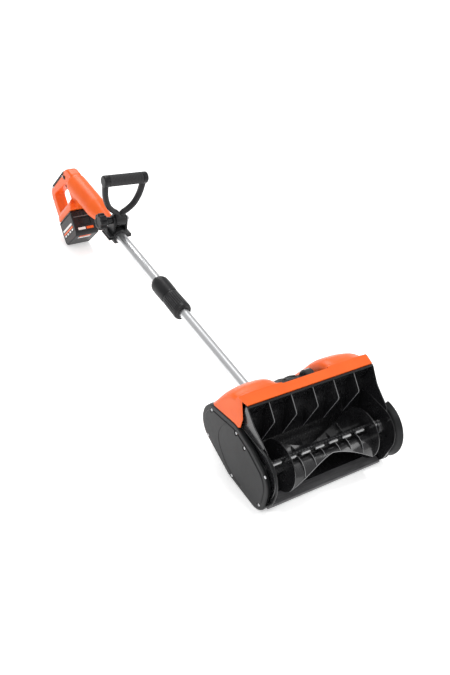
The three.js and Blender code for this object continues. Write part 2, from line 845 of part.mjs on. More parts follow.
// Collar fixed on the upper tube, with a thread for the sleeve under it.
function lockBody() {
  const upper = upperTubeDiameter / 2 + gap;
  const lower = lowerTubeDiameter / 2 + runningGap;
  return turnedAlongTube([
    [lockBodyStart, lower],
    [lockBodyStart, lockDiameter / 2 - 5],
    [lockBodyStart + lockThread, lockDiameter / 2 - 5],
    [lockBodyStart + lockThread, lockDiameter / 2 - 1.5],
    [lockEnd - 20, lockDiameter / 2],
    [lockEnd - 8, lockDiameter / 2 - 2.5],
    [lockEnd, lockDiameter / 2 - 7.5],
    [lockEnd, upper],
    [upperTubeStart - gap, upper],
    [upperTubeStart - gap, lower],
    [lockBodyStart, lower],
  ]);
}

function lockSleeve() {
  const bore = lowerTubeDiameter / 2 + runningGap;
  return turnedAlongTube([
    [lockStart, bore + 2],
    [lockStart, lockDiameter / 2 - 3],
    [lockStart + 6, lockDiameter / 2 - 0.5],
    [lockBodyStart + lockThread - gap, lockDiameter / 2 - 1.5],
    [lockBodyStart + lockThread - gap, lockDiameter / 2 - 5 + gap],
    [lockBodyStart - gap, lockDiameter / 2 - 5 + gap],
    [lockBodyStart - gap, bore + 4.4],
    [lockStart + 14, bore + 4.4],
    [lockStart + 10, bore],
    [lockStart + 4, bore],
    [lockStart, bore + 2],
  ]);
}

// Split ring that the sleeve wedges onto the lower tube.
function lockWedge() {
  const bore = lowerTubeDiameter / 2 + gap;
  const ring = turnedAlongTube([
    [lockStart + 15, bore],
    [lockStart + 16, bore + 3.4],
    [lockBodyStart - 2, bore + 4.2],
    [lockBodyStart - 2, bore],
    [lockStart + 15, bore],
  ]);
  const slit = box(-1.5, 1.5, lockStart, lockBodyStart, 0, 40);
  return cut(ring, slit);
}

// ---------------------------------------------------------------- bow handle

const hubAxis = { y: bowAt, z: bowPivotHeight };
const earOuter = hubHalfWidth + gap + earThickness;

function roundRodAlong(points, diameter, steps) {
  const path = new THREE.CatmullRomCurve3(
    points.map(([x, y, z]) => new THREE.Vector3(x, y, z)),
    false,
    'centripetal',
  );
  const section = new THREE.Shape().absarc(0, 0, diameter / 2, 0, 2 * Math.PI, false);
  return solid(new THREE.ExtrudeGeometry(section, {
    steps,
    curveSegments: 4,
    bevelEnabled: false,
    extrudePath: path,
  }));
}

function bowFrame() {
  const reach = (bowWidth - bowRod) / 2;
  const arm = (s) => roundRodAlong([
    [s * 3, bowAt, bowPivotHeight + 7],
    [s * 9, bowAt, bowPivotHeight + 21],
    [s * 24, bowAt, bowPivotHeight + 31],
    [s * 41, bowAt, bowPivotHeight + 46],
    [s * (reach - 5), bowAt, bowPivotHeight + 72],
    [s * reach, bowAt, bowGripHeight - 18],
    [s * reach, bowAt, bowGripHeight + 2],
  ], bowRod, 14);
  const end = reach + bowRod / 2;
  const bar = turnedAcross([
    [-end, 0],
    [-end, bowRod / 2 - 2],
    [-end + 2, bowRod / 2 + 0.5],
    [end - 2, bowRod / 2 + 0.5],
    [end, bowRod / 2 - 2],
    [end, 0],
  ], { y: bowAt, z: bowGripHeight }, 18);
  const hub = turnedAcross(rod(-hubHalfWidth, hubHalfWidth, hubRadius), hubAxis, 24);
  const boltHole = turnedAcross(rod(-40, 40, boltDiameter / 2 + gap), hubAxis, 16);
  return cut(join(hub, arm(-1), arm(1), bar), boltHole);
}

function bowGrip() {
  const half = bowWidth / 2 - bowRod - gap;
  return turnedAcross(
    barrel(-half, half, bowGripDiameter / 2, bowRod / 2 + 0.5 + gap),
    { y: bowAt, z: bowGripHeight },
    20,
  );
}

const clampStart = bowAt - clampLength / 2;
const clampEnd = bowAt + clampLength / 2;

function clampHalf(upper) {
  const reach = bowWidth / 2;
  const bore = upperTubeDiameter / 2 + gap;
  const ring = turnedAlongTube(barrel(clampStart, clampEnd, bore + clampWall, bore));
  const flangeX = bore + clampWall + clampFlange;
  const flange = (s) => box(
    Math.min(s * bore, s * flangeX), Math.max(s * bore, s * flangeX),
    clampStart, clampEnd,
    upper ? splitLine : -splitLine - flangeThickness,
    upper ? splitLine + flangeThickness : -splitLine,
  );
  const keep = upper
    ? box(-reach, reach, clampStart - 1, clampEnd + 1, splitLine, reach)
    : box(-reach, reach, clampStart - 1, clampEnd + 1, -reach, -splitLine);
  const bored = turnedAlongTube(rod(clampStart - 1, clampEnd + 1, bore));
  return cut(join(ring, flange(-1), flange(1)), bored).intersect(keep);
}

function clampUpper() {
  const earShape = (axis) => hullShape([
    { ...axis, r: hubRadius - 4 },
    { y: axis.y, z: 18, r: hubRadius },
  ]);
  const ear = pulled(earShape(hubAxis), hubHalfWidth + gap, earOuter);
  const bore = upperTubeDiameter / 2 + gap;
  const parts = join(clampHalf(true), ear, ear.mirror([1, 0, 0]));
  const tubeRoom = turnedAlongTube(rod(clampStart - 1, clampEnd + 1, bore));
  const hubRoom = turnedAcross(
    rod(-hubHalfWidth - gap, hubHalfWidth + gap, hubRadius + runningGap),
    hubAxis,
    24,
  );
  const boltHole = turnedAcross(rod(-60, 60, boltDiameter / 2 + gap), hubAxis, 16);
  const below = box(-bowWidth, bowWidth, clampStart - 20, clampEnd + 20, -bowWidth, splitLine);
  return cut(parts, tubeRoom, hubRoom, boltHole, below);
}

function clampLower() {
  const bore = upperTubeDiameter / 2 + gap;
  const boss = box(-8, 8, clampStart + 8, clampEnd - 8, -bore - clampWall - 10, -bore - 2);
  return join(clampHalf(false), boss);
}

// Head of the cap screw under each flange.
function clampScrew(side) {
  const x = side * (upperTubeDiameter / 2 + gap + clampWall + clampFlange / 2 - 1);
  const r = 4.4;
  const high = -splitLine - flangeThickness - gap;
  const low = high - 3.3;
  const geometry = new THREE.LatheGeometry(
    [[0, low], [r, low], [r, high], [0, high]].map(([u, v]) => new THREE.Vector2(u, v)),
    16,
  );
  geometry.rotateX(Math.PI / 2);
  geometry.translate(x, bowAt, 0);
  return solid(geometry);
}

function bowBolt() {
  const r = boltDiameter / 2;
  const head = earOuter + gap;
  return turnedAcross([
    [-earOuter - knobNeck, 0],
    [-earOuter - knobNeck, r],
    [head, r],
    [head, 8],
    [head + 6, 8],
    [head + 6, 0],
  ], hubAxis, 16);
}

function bowKnob() {
  const inner = -earOuter - gap;
  const face = inner - knobNeck;
  const tip = face - knobWidth;
  const body = turnedAcross([
    [tip, 0],
    [tip, knobDiameter / 2 - 5],
    [tip + 4, knobDiameter / 2],
    [face, knobDiameter / 2],
    [face, 10],
    [inner, 9],
    [inner, 0],
  ], hubAxis, 24);
  const scallops = [];
  for (let i = 0; i < knobLobes; i += 1) {
    const a = 2 * Math.PI * i / knobLobes;
    scallops.push(turnedAcross(rod(tip - 1, face + 1, 6), {
      y: hubAxis.y + (knobDiameter / 2 + 2.5) * Math.cos(a),
      z: hubAxis.z + (knobDiameter / 2 + 2.5) * Math.sin(a),
    }, 10));
  }
  const bore = turnedAcross(
    rod(-earOuter - knobNeck - gap, inner + 1, boltDiameter / 2 + gap),
    hubAxis,
    16,
  );
  return cut(body, ...scallops, bore);
}

// ---------------------------------------------------------------- rear handle

function loopShape() {
  const corner = 26;
  return shapeOf([
    dock(-35, 8),
    dock(0, gap),
    dock(loopLength - 22, gap),
    dock(loopLength - 6, 12),
    dock(loopLength, 30),
    dock(loopLength, loopDepth - corner),
    dock(loopLength - corner / 3, loopDepth - corner / 3),
    dock(loopLength - corner, loopDepth),
    dock(-8, loopDepth),
    dock(-24, loopDepth - 6),
    dock(-45, loopDepth - 33),
  ]);
}

function holeShape(grow = 0) {
  const h = fingerHole;
  const [p0, p1, q0, q1, q2] = [h.p0 - grow, h.p1 + grow, h.q0 - grow, h.q1 + grow, h.q2 + grow];
  const r = h.round;
  return shapeOf([
    dock(p0 + r, q0), dock(p1 - r, q0), dock(p1 - r * 0.3, q0 + r * 0.3), dock(p1, q0 + r),
    dock(p1, q2 - r), dock(p1 - r * 0.3, q2 - r * 0.3), dock(p1 - r, q2), dock(p0 + r, q1),
    dock(p0 + r * 0.3, q1 - r * 0.3), dock(p0, q1 - r),
    dock(p0, q0 + r), dock(p0 + r * 0.3, q0 + r * 0.3),
  ]);
}

function shoeShape() {
  return shapeOf([
    dock(-8, gap),
    dock(batteryLength, gap),
    dock(batteryLength + 4, 6),
    dock(batteryLength - 4, shoeThickness),
    dock(-14, shoeThickness),
  ]);
}

function barrelProfile(shrink = 0) {
  return [
    [noseStart + shrink, 0],
    [noseStart + shrink, noseRadius - shrink],
    [noseStart + 10, noseRadius + 2 - shrink],
    [noseStart + 42, noseRadius + 5 - shrink],
    [handleAt, barrelRadius - shrink],
    [barrelEnd - 12, barrelRadius - shrink],
    [barrelEnd - shrink, barrelRadius - 12 - shrink],
    [barrelEnd - shrink, 0],
  ];
}

const padStart = 4;
const padEnd = loopLength - 30;
const triggerPivot = dock(14, 88);
const triggerSlot = { p0: 10, p1: 44, q0: 70, q1: 104 };
const lockOff = dock(lockOffPlace.p, lockOffPlace.q);

function handleBody() {
  const outer = join(
    turnedAlongTube(barrelProfile()),
    pulled(loopShape(), -gripWidth / 2, gripWidth / 2),
    pulled(shoeShape(), -shoeWidth / 2, shoeWidth / 2),
  );
  const hole = pulled(holeShape(), -60, 60);
  const tubeRoom = turnedAlongTube(rod(noseStart - 1, upperTubeEnd + gap, upperTubeDiameter / 2 + gap));
  const electronics = turnedAlongTube(rod(upperTubeEnd, barrelEnd - 14, barrelRadius - handleWall), 16);
  const half = gripWidth / 2 - handleWall;
  const gripRoom = pulled(shapeOf([
    dock(-20, 90),
    dock(92, 101),
    dock(92, loopDepth - handleWall - 4),
    dock(-6, loopDepth - handleWall - 4),
  ]), -half, half);
  const trigger = pulled(shapeOf([
    dock(triggerSlot.p0, triggerSlot.q0),
    dock(triggerSlot.p1, triggerSlot.q0),
    dock(triggerSlot.p1, triggerSlot.q1),
    dock(triggerSlot.p0, triggerSlot.q1),
  ]), -triggerWidth / 2 - 0.8, triggerWidth / 2 + 0.8);
  const shoeRoom = pulled(shapeOf([
    dock(10, -1),
    dock(batteryLength - 12, -1),
    dock(batteryLength - 12, 14),
    dock(10, 14),
  ]), -railWidth / 2 + 4, railWidth / 2 - 4);
  const buttonHole = turnedAcross(
    rod(-60, 60, lockOffRadius + gap),
    { y: lockOff.x, z: lockOff.y },
    16,
  );
  const padRoom = pulled(shapeOf([
    dock(padStart, loopDepth - padDepth),
    dock(padEnd, loopDepth - padDepth),
    dock(padEnd, loopDepth + 5),
    dock(padStart, loopDepth + 5),
  ]), -60, 60);
  return cut(outer, hole, tubeRoom, electronics, gripRoom, trigger, shoeRoom, buttonHole, padRoom);
}

function handleHalf(side) {
  const keep = side > 0
    ? box(gap / 2, 80, 400, 1000, -300, 200)
    : box(-80, -gap / 2, 400, 1000, -300, 200);
  return handleBody().intersect(keep);
}

function gripPad() {
  const p0 = padStart + gap;
  const p1 = padEnd - gap;
  return pulled(shapeOf([
    dock(p0, loopDepth - padDepth + gap),
    dock(p1, loopDepth - padDepth + gap),
    dock(p1 - 4, loopDepth + 1.5),
    dock(p0 + 4, loopDepth + 1.5),
  ]), -gripWidth / 2 + 2, gripWidth / 2 - 2);
}

// Trigger: pivots at its upper end, so the lower end swings into the grip.
function trigger() {
  const blade = pulled(shapeOf([
    dock(11.5, 92),
    dock(11.5, 80),
    dock(16, 74),
    dock(26, 73),
    dock(41, 77),
    dock(41, 86),
    dock(20, 92),
  ]), -triggerWidth / 2, triggerWidth / 2);
  const eye = turnedAcross(rod(-6.6, 6.6, 1.5), { y: triggerPivot.x, z: triggerPivot.y }, 12);
  return cut(blade, eye);
}

function triggerPin() {
  return turnedAcross(rod(-6.2, 6.2, 1.2), { y: triggerPivot.x, z: triggerPivot.y }, 12);
}

function powerSwitch() {
  return pulled(shapeOf([
    dock(48, 100),
    dock(84, 103),
    dock(84, loopDepth - handleWall - 5),
    dock(48, loopDepth - handleWall - 5),
  ]), -8, 8);
}

function lockOffButton() {
  const half = gripWidth / 2 + buttonProud;
  const axis = { y: lockOff.x, z: lockOff.y };
  return turnedAcross([
    [-half, 0],
    [-half, lockOffRadius - 1],
    [-half + 1, lockOffRadius],
    [half - 1, lockOffRadius],
    [half, lockOffRadius - 1],
    [half, 0],
  ], axis, 16);
}

function controller() {
  return box(-15, 15, upperTubeEnd + 8, barrelEnd - 26, -9, 7);
}

function terminalBlock() {
  return pulled(shapeOf([
    dock(14, 2.5),
    dock(52, 2.5),
    dock(52, 13),
    dock(14, 13),
  ]), -railWidth / 2 + 6, railWidth / 2 - 6);
}

// ---------------------------------------------------------------- battery

function batteryShape() {
  const r = batteryCorner;
  const foot = { y: batteryFoot.x, z: batteryFoot.y };
  const steps = 4;
  const corner = [];
  for (let i = -steps; i < steps; i += 1) {
    const a = floorward + (i + 0.5) * facet;
    corner.push([foot.y + r * Math.cos(a), foot.z + r * Math.sin(a)]);
  }
  return shapeOf([
    dock(0, -gap),
    dock(0, -batteryHeight + 12),
    dock(batteryTaper, -batteryHeight),
    ...corner,
    dock(batteryLength, -gap),
  ]);
}

function batteryCase() {
  const body = pulled(batteryShape(), -batteryWidth / 2, batteryWidth / 2);
  const recess = pulled(shapeOf([
    dock(-1, latch.q1),
    dock(-1, latch.q0),
    dock(latch.depth, latch.q0),
    dock(latch.depth, latch.q1),
  ]), -latch.halfWidth, latch.halfWidth);
  return cut(body, recess);
}

// Release button in the battery's upper end.
function batteryButton() {
  const [q0, q1] = [latch.q0 + runningGap, latch.q1 - runningGap];
  const half = latch.halfWidth - runningGap;
  return pulled(shapeOf([
    dock(1, q1),
    dock(1, q0),
    dock(latch.depth - 2, q0),
    dock(latch.depth - 2, q1),
  ]), -half, half);
}

// ---------------------------------------------------------------- assembly

const tool = new THREE.Group();

tool.add(
  piece('auger_housing', augerHousing(), 'black'),
  piece('scraper_blade', scraperBlade(), 'blade'),
  piece('drive_cover', sideCover(-1), 'satinBlack'),
  piece('right_cover', sideCover(1), 'satinBlack'),
  piece('top_cover', topCover(), 'orange'),
  piece('belly_plate', bellyPlate(), 'black'),
  piece('tube_socket', tubeSocket(), 'satinBlack'),
  piece('motor', motor(), 'steel'),
  piece('motor_shaft', motorShaft(), 'steel'),
  piece('motor_bracket', motorBracket(), 'steel'),
  piece('motor_saddle', motorSaddle(), 'black'),
  piece('motor_cable', motorCable(), 'rubber'),
  piece('drive_pulley', turnedAcross(pulley(driveRadius, motorShaftDiameter / 2 + gap), motorAxis), 'steel'),
  piece('driven_pulley', turnedAcross(pulley(drivenRadius, shaftDiameter / 2 + gap), augerAxis), 'black'),
  piece('drive_belt', driveBelt(), 'rubber'),
  piece('left_bearing', bearing(-1), 'steel'),
  piece('right_bearing', bearing(1), 'steel'),
  piece('auger_shaft', augerShaft(), 'steel'),
  piece('auger_rotor', augerRotor(), 'black'),
  piece('lower_tube', lowerTube(), 'aluminium'),
  piece('upper_tube', upperTube(), 'aluminium'),
  piece('lock_body', lockBody(), 'satinBlack'),
  piece('lock_sleeve', lockSleeve(), 'satinBlack'),
  piece('lock_wedge', lockWedge(), 'black'),
  piece('handle_left_shell', handleHalf(-1), 'orange'),
  piece('handle_right_shell', handleHalf(1), 'orange'),
  piece('grip_pad', gripPad(), 'rubber'),
  piece('trigger', trigger(), 'black'),
  piece('trigger_pin', triggerPin(), 'steel'),
  piece('power_switch', powerSwitch(), 'black'),
  piece('lock_off_button', lockOffButton(), 'black'),
  piece('controller', controller(), 'board'),
  piece('terminal_block', terminalBlock(), 'copper'),
  piece('battery_case', batteryCase(), 'battery'),
  piece('battery_button', batteryButton(), 'black'),
);

// The bow handle is turned a little about the tube, as it is clamped.
const bow = new THREE.Group();
bow.rotation.y = bowRoll;
bow.add(
  piece('bow_frame', bowFrame(), 'satinBlack'),
  piece('bow_grip', bowGrip(), 'rubber'),
  piece('clamp_upper', clampUpper(), 'satinBlack'),
  piece('clamp_lower', clampLower(), 'satinBlack'),
  piece('clamp_screw_left', clampScrew(-1), 'steel'),
  piece('clamp_screw_right', clampScrew(1), 'steel'),
  piece('bow_bolt', bowBolt(), 'steel'),
  piece('bow_knob', bowKnob(), 'satinBlack'),
);
tool.add(bow);

// Tilt the tool onto its skids and battery, then centre it on the floor.
const snowThrower = new THREE.Group();
tool.rotation.x = tilt;
snowThrower.add(tool);
snowThrower.updateMatrixWorld(true);
const bounds = new THREE.Box3().setFromObject(snowThrower, true);
tool.position.set(0, -(bounds.min.y + bounds.max.y) / 2, -bounds.min.z);

export default snowThrower;
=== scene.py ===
# %% [markdown]
# # A battery snow thrower
#
# The tool is a wide black scoop with a paddle rotor, an orange cover behind it, a two-part
# aluminium tube, a bow handle and an orange rear handle with a battery. The working model comes
# from CAD as a fixed frame. Here every visible piece gets its fine surface and its finish.
#
# Sizes are in millimetres in the tool's own axes: x across the scoop to the right, y along the
# tube towards the user, z square to the tube. One matrix places them in the world.

# %% Load the frame
import json
import math

import bmesh
import bpy
from mathutils import Matrix, Vector
from mathutils.geometry import convex_hull_2d


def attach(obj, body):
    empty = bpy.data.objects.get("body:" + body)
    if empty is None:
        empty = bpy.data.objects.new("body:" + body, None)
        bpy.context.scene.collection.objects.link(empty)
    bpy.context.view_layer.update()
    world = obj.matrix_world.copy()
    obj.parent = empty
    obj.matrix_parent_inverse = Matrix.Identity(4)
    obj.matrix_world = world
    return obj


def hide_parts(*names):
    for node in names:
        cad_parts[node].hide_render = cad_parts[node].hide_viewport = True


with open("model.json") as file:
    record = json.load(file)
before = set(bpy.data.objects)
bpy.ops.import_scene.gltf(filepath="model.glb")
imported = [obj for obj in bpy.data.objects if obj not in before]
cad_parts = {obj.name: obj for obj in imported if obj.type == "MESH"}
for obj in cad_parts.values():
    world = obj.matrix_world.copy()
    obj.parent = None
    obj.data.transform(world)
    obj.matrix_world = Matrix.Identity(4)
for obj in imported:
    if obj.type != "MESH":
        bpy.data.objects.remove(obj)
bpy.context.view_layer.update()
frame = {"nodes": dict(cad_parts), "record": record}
joint_rows = {joint["name"]: joint for joint in frame["record"]["behaviour"]["joints"]}

# %% [markdown]
# ## The tool's own axes
#
# The tool lies tilted on the floor, so a piece drawn in world axes would need a sine and a cosine
# in every number. It is simpler to draw it straight, in the axes of the tube, and to turn the
# finished mesh once. The tube's direction, the rotor's axis and the bow's axis come from the
# joints.

# %% Tool axes
MM = 0.001
AUGER = (-374, 62)
MOTOR = (-236, 58)
ACROSS = Vector((1, 0, 0))
ALONG = Vector(joint_rows["tube_slide"]["axis"]).normalized()
ABOVE = ACROSS.cross(ALONG)
BOW_ACROSS = Vector(joint_rows["bow_tilt"]["axis"]).normalized()
ORIGIN = Vector(joint_rows["auger_spin"]["pos_m"]) - (ALONG * AUGER[0] + ABOVE * AUGER[1]) * MM


def axes_matrix(x, y, z, place):
    """A matrix from millimetres in three given directions to metres in the world."""
    turn = Matrix((x, y, z)).transposed().to_4x4()
    return Matrix.Translation(place) @ turn @ Matrix.Scale(MM, 4)


TOOL = axes_matrix(ACROSS, ALONG, ABOVE, ORIGIN)
BOW = axes_matrix(BOW_ACROSS, ALONG, BOW_ACROSS.cross(ALONG), ORIGIN)
TILT = math.asin(ALONG.z)
print("tube rises", round(math.degrees(TILT), 2), "degrees")

# %% [markdown]
# ## Camera, floor and light
#
# A product picture is taken from above the front left corner with a slightly tipped camera. The
# tip is a roll about the line of sight, so the camera's level axes are worked out first and then
# turned by the roll. The floor is a large pale plane, and soft area lights with a bright even
# background stand for a light tent.

# %% Camera
def level_axes(azimuth, elevation):
    """Forward and right of an unrolled camera. Azimuth 0 looks along +Y and turns to +X."""
    a, e = math.radians(azimuth), math.radians(elevation)
    forward = Vector((math.sin(a) * math.cos(e), math.cos(a) * math.cos(e), -math.sin(e)))
    right = Vector((math.cos(a), -math.sin(a), 0))
    return forward, right


def make_camera(place, azimuth, elevation, roll, lens):
    forward, level_right = level_axes(azimuth, elevation)
    tip = math.radians(roll)
    right = level_right * math.cos(tip) + level_right.cross(forward) * math.sin(tip)
    up = right.cross(forward)
    data = bpy.data.cameras.new("camera")
    data.lens = lens
    camera = bpy.data.objects.new("camera", data)
    bpy.context.scene.collection.objects.link(camera)
    turn = Matrix((right, up, -forward)).transposed().to_4x4()
    camera.matrix_world = Matrix.Translation(place) @ turn
    bpy.context.scene.camera = camera
    return camera


camera_place = TOOL @ Vector((-907, -1092, 1230))
camera = make_camera(camera_place, azimuth=36.24, elevation=33.0, roll=5.63, lens=44.2)
print("camera at", [round(v, 3) for v in camera.location])


# %% Stage
def area_light(name, place, size, power):
    """A round soft light that points at the middle of the tool."""
    data = bpy.data.lights.new(name, "AREA")
    data.shape = "DISK"
    data.size = size
    data.energy = power
    lamp = bpy.data.objects.new(name, data)
    bpy.context.scene.collection.objects.link(lamp)
    lamp.location = place
    lamp.rotation_euler = (-Vector(place)).to_track_quat("-Z", "Y").to_euler()


def make_stage():
    bpy.ops.mesh.primitive_plane_add(size=80, location=(0, 0, -0.0005))
    floor = bpy.context.object
    floor.name = "floor"
    white = bpy.data.materials.new("floor_paint")
    white.use_nodes = True
    shader = white.node_tree.nodes["Principled BSDF"]
    shader.inputs["Base Color"].default_value = (0.9, 0.9, 0.9, 1)
    shader.inputs["Emission Color"].default_value = (1, 1, 1, 1)
    shader.inputs["Emission Strength"].default_value = 0.42
    shader.inputs["Roughness"].default_value = 0.9
    floor.data.materials.append(white)
    world = bpy.data.worlds.new("tent")
    world.use_nodes = True
    sky = world.node_tree.nodes["Background"]
    sky.inputs["Color"].default_value = (1, 1, 1, 1)
    sky.inputs["Strength"].default_value = 0.6
    bpy.context.scene.world = world
    area_light("key", (-1.6, -1.6, 2.6), 1.2, 22)
    area_light("fill", (2.4, -1.2, 1.8), 1.6, 20)
    area_light("back", (0.6, 2.6, 2.2), 1.6, 34)
    sun = bpy.data.lights.new("overhead", "SUN")
    sun.energy = 1.1
    sun.angle = math.radians(14)
    overhead = bpy.data.objects.new("overhead", sun)
    overhead.rotation_euler = (math.radians(-8), math.radians(10), 0)
    bpy.context.scene.collection.objects.link(overhead)


make_stage()
bpy.context.scene.view_settings.view_transform = "Standard"
print("stage ready")

# %% [markdown]
# ## Node trees by one method
#
# Materials and repeated parts are both node trees. One class adds every node: its type, its
# settings first, then its socket values. A `Wire` stands for an output, and arithmetic on wires
# adds the Math nodes, so a formula in the script reads like a formula.

# %% Node trees
class Wire:
    """An output in a node tree. Arithmetic on it adds Math nodes."""

    def __init__(self, graph, socket):
        self.graph = graph
        self.socket = socket

    def maths(self, operation, first, second):
        return self.graph.node("ShaderNodeMath", {"operation": operation}, {0: first, 1: second})

    def __add__(self, other):
        return self.maths("ADD", self, other)

    def __radd__(self, other):
        return self.maths("ADD", other, self)

    def __sub__(self, other):
        return self.maths("SUBTRACT", self, other)

    def __rsub__(self, other):
        return self.maths("SUBTRACT", other, self)

    def __mul__(self, other):
        return self.maths("MULTIPLY", self, other)

    def __rmul__(self, other):
        return self.maths("MULTIPLY", other, self)

    def __truediv__(self, other):
        return self.maths("DIVIDE", self, other)

    def __rtruediv__(self, other):
        return self.maths("DIVIDE", other, self)

    def between(self, low, high):
        """0 below low, 1 above high, and smooth in between."""
        values = {"Value": self, "From Min": low, "From Max": high}
        return self.graph.node("ShaderNodeMapRange", {"interpolation_type": "SMOOTHSTEP"}, values)


class Graph:
    """A node tree under construction."""

    def __init__(self, tree):
        self.tree = tree

    def node(self, kind, settings=None, values=None, output=0):
        """Add a node: its settings first, then numbers or wires for its sockets."""
        node = self.tree.nodes.new(kind)
        for name, value in (settings or {}).items():
            setattr(node, name, value)
        for name, value in (values or {}).items():
            self.feed(node.inputs[name], value)
        return Wire(self, node.outputs[output])

    def feed(self, socket, value):
        if isinstance(value, Wire):
            self.tree.links.new(value.socket, socket)
        else:
            socket.default_value = value


print("node trees ready")

# %% [markdown]
# ## Finishes
#
# Every finish is one shader with a few varying inputs. The grain of a pattern is given as a size
# in millimetres along each of the tool's axes, so a drawn tube gets long thin grains and a
# moulded cover gets round ones. The objects stand at the origin, so object coordinates are world
# coordinates, and a mapping node turned by the tube's tilt gives the tool's axes.

# %% Paint
class Paint(Graph):
    """A material: one Principled shader whose inputs can vary."""

    def __init__(self, name, colour, roughness, metallic=0.0, coat=0.0, shine=0.5):
        self.material = bpy.data.materials.new(name)
        self.material.use_nodes = True
        super().__init__(self.material.node_tree)
        self.shader = self.tree.nodes["Principled BSDF"]
        self.colour = (*colour, 1)
        self.set("Base Color", self.colour)
        self.set("Roughness", roughness)
        self.set("Metallic", metallic)
        self.set("Coat Weight", coat)
        self.set("Specular IOR Level", shine)

    def set(self, name, value):
        self.feed(self.shader.inputs[name], value)

    def grain_place(self, size):
        """Coordinates along the tool's axes, counted in grains of that size in millimetres."""
        where = self.node("ShaderNodeTexCoord", output="Object")
        values = {
            "Vector": where,
            "Rotation": (TILT, 0, 0),
            "Scale": tuple(length * MM for length in size),
        }
        return self.node("ShaderNodeMapping", {"vector_type": "TEXTURE"}, values)

    def noise(self, size, detail=3.0, roughness=0.5):
        values = {
            "Vector": self.grain_place(size),
            "Scale": 1.0,
            "Detail": detail,
            "Roughness": roughness,
        }
        return self.node("ShaderNodeTexNoise", values=values)

    def pebbles(self, size):
        values = {"Vector": self.grain_place((size, size, size)), "Scale": 1.0}
        return self.node("ShaderNodeTexVoronoi", {"feature": "SMOOTH_F1"}, values)

    def shift_colour(self, factor, other):
        """Mix the base colour towards another where the factor is high."""
        settings = {"data_type": "RGBA"}
        values = {0: factor, 6: self.colour, 7: (*other, 1)}
        self.set("Base Color", self.node("ShaderNodeMix", settings, values, output=2))

    def bump(self, height, depth, strength=1.0):
        """Raise the surface by a pattern, depth in millimetres."""
        values = {"Height": height, "Distance": depth * MM, "Strength": strength}
        self.set("Normal", self.node("ShaderNodeBump", values=values))


def even(size):
    return (size, size, size)


print("grain follows the tube, turned by", round(TILT, 4))

# %% [markdown]
# ### Plastics
#
# The orange cover and handle shells are moulded in a spark-eroded tool, which leaves a fine even
# texture and a half-gloss skin. Broad soft noise lets the colour drift a little, as pigment does
# in a large moulding. The scoop is polished black plastic with fine scratches, the side covers
# and handle parts are satin, and the scraper is worn lengthwise by the ground. The same grey on
# the scraper's flange over the trough is painted light: the lit band on the trough's front floor.
# The light grey rims on the vanes, blade and gussets are a painted highlight along the edges, and
# the near-white lips on the rotor's plates are painted light seen through the plate's slots.

# %% Plastic finishes
def moulded(name, colour, other, roughness, grain, depth, shine=0.25):
    """A moulded plastic: broad colour drift, uneven gloss and a fine raised grain."""
    paint = Paint(name, colour, roughness, shine=shine)
    drift = paint.noise(even(60), detail=4).between(0.35, 0.75)
    paint.shift_colour(drift, other)
    gloss = paint.noise(even(9), detail=5)
    paint.set("Roughness", roughness - 0.06 + 0.12 * gloss)
    paint.bump(paint.pebbles(grain) + 0.4 * paint.noise(even(grain / 2)), depth)
    return paint.material


def scoop_finish():
    """Polished black plastic with fine scratches running with the snow."""
    paint = Paint("scoop_plastic", (0.011, 0.011, 0.012), 0.3, coat=0.25)
    dust = paint.noise(even(70), detail=5).between(0.5, 0.85)
    paint.shift_colour(0.5 * dust, (0.05, 0.05, 0.052))
    scratch = paint.noise((0.7, 14, 14), detail=2).between(0.55, 0.75)
    paint.set("Roughness", 0.22 + 0.1 * scratch + 0.12 * dust)
    paint.bump(scratch + 0.6 * paint.noise(even(6)), 0.03)
    return paint.material


def scraper_finish():
    """Grey plastic dulled and streaked by the ground. On the scraper's flange over the trough the grey
    is painted light, the lit band on the trough's floor.
    """
    paint = Paint("scraper_plastic", (0.08, 0.08, 0.083), 0.5)
    streak = paint.noise((40, 0.8, 0.8), detail=4).between(0.35, 0.7)
    paint.shift_colour(streak, (0.15, 0.15, 0.155))
    paint.set("Roughness", 0.42 + 0.16 * streak)
    paint.bump(streak, 0.08)
    return paint.material


def rubber_finish(name, colour):
    """Matt rubber with a fine crumb."""
    paint = Paint(name, colour, 0.75)
    crumb = paint.noise(even(0.9), detail=4, roughness=0.7)
    paint.shift_colour(crumb.between(0.45, 0.8), tuple(2.2 * value for value in colour))
    paint.set("Roughness", 0.62 + 0.25 * crumb)
    paint.bump(crumb, 0.12)
    return paint.material


BLACK = (0.008, 0.008, 0.009)
plastics = {
    "orange_plastic": moulded(
        "orange_plastic", (0.84, 0.125, 0.016), (0.78, 0.105, 0.012), 0.36, 1.1, 0.02),
    "cover_plastic": moulded(
        "cover_plastic", (0.009, 0.0092, 0.01), (0.016, 0.0163, 0.0175), 0.38, 1.3, 0.04),
    "battery_plastic": moulded(
        "battery_plastic", (0.012, 0.012, 0.0135), (0.018, 0.018, 0.0195), 0.4, 0.9, 0.04),
    "fitting_plastic": moulded("fitting_plastic", BLACK, (0.02, 0.02, 0.021), 0.36, 1.0, 0.03),
    # The light grey finish below is a painted highlight on the vane, blade and gusset rims; the
    # battery's end line uses it too.
    "edge_plastic": moulded("edge_plastic", (0.2, 0.2, 0.205), (0.3, 0.3, 0.305), 0.3, 1.0, 0.01),
    # The near-white lips finish below is painted light: the bright gaps seen through the rotor plate's
    # slots.
    "slot_plastic": moulded("slot_plastic", (0.85, 0.85, 0.86), (0.9, 0.9, 0.9), 0.3, 1.0, 0.01),
    "label_white": moulded("label_white", (0.8, 0.79, 0.77), (0.72, 0.71, 0.69), 0.35, 0.8, 0.01),
    "scoop_plastic": scoop_finish(),
    "scraper_plastic": scraper_finish(),
    "rubber": rubber_finish("rubber", (0.017, 0.017, 0.018)),
}
print(len(plastics), "plastics")

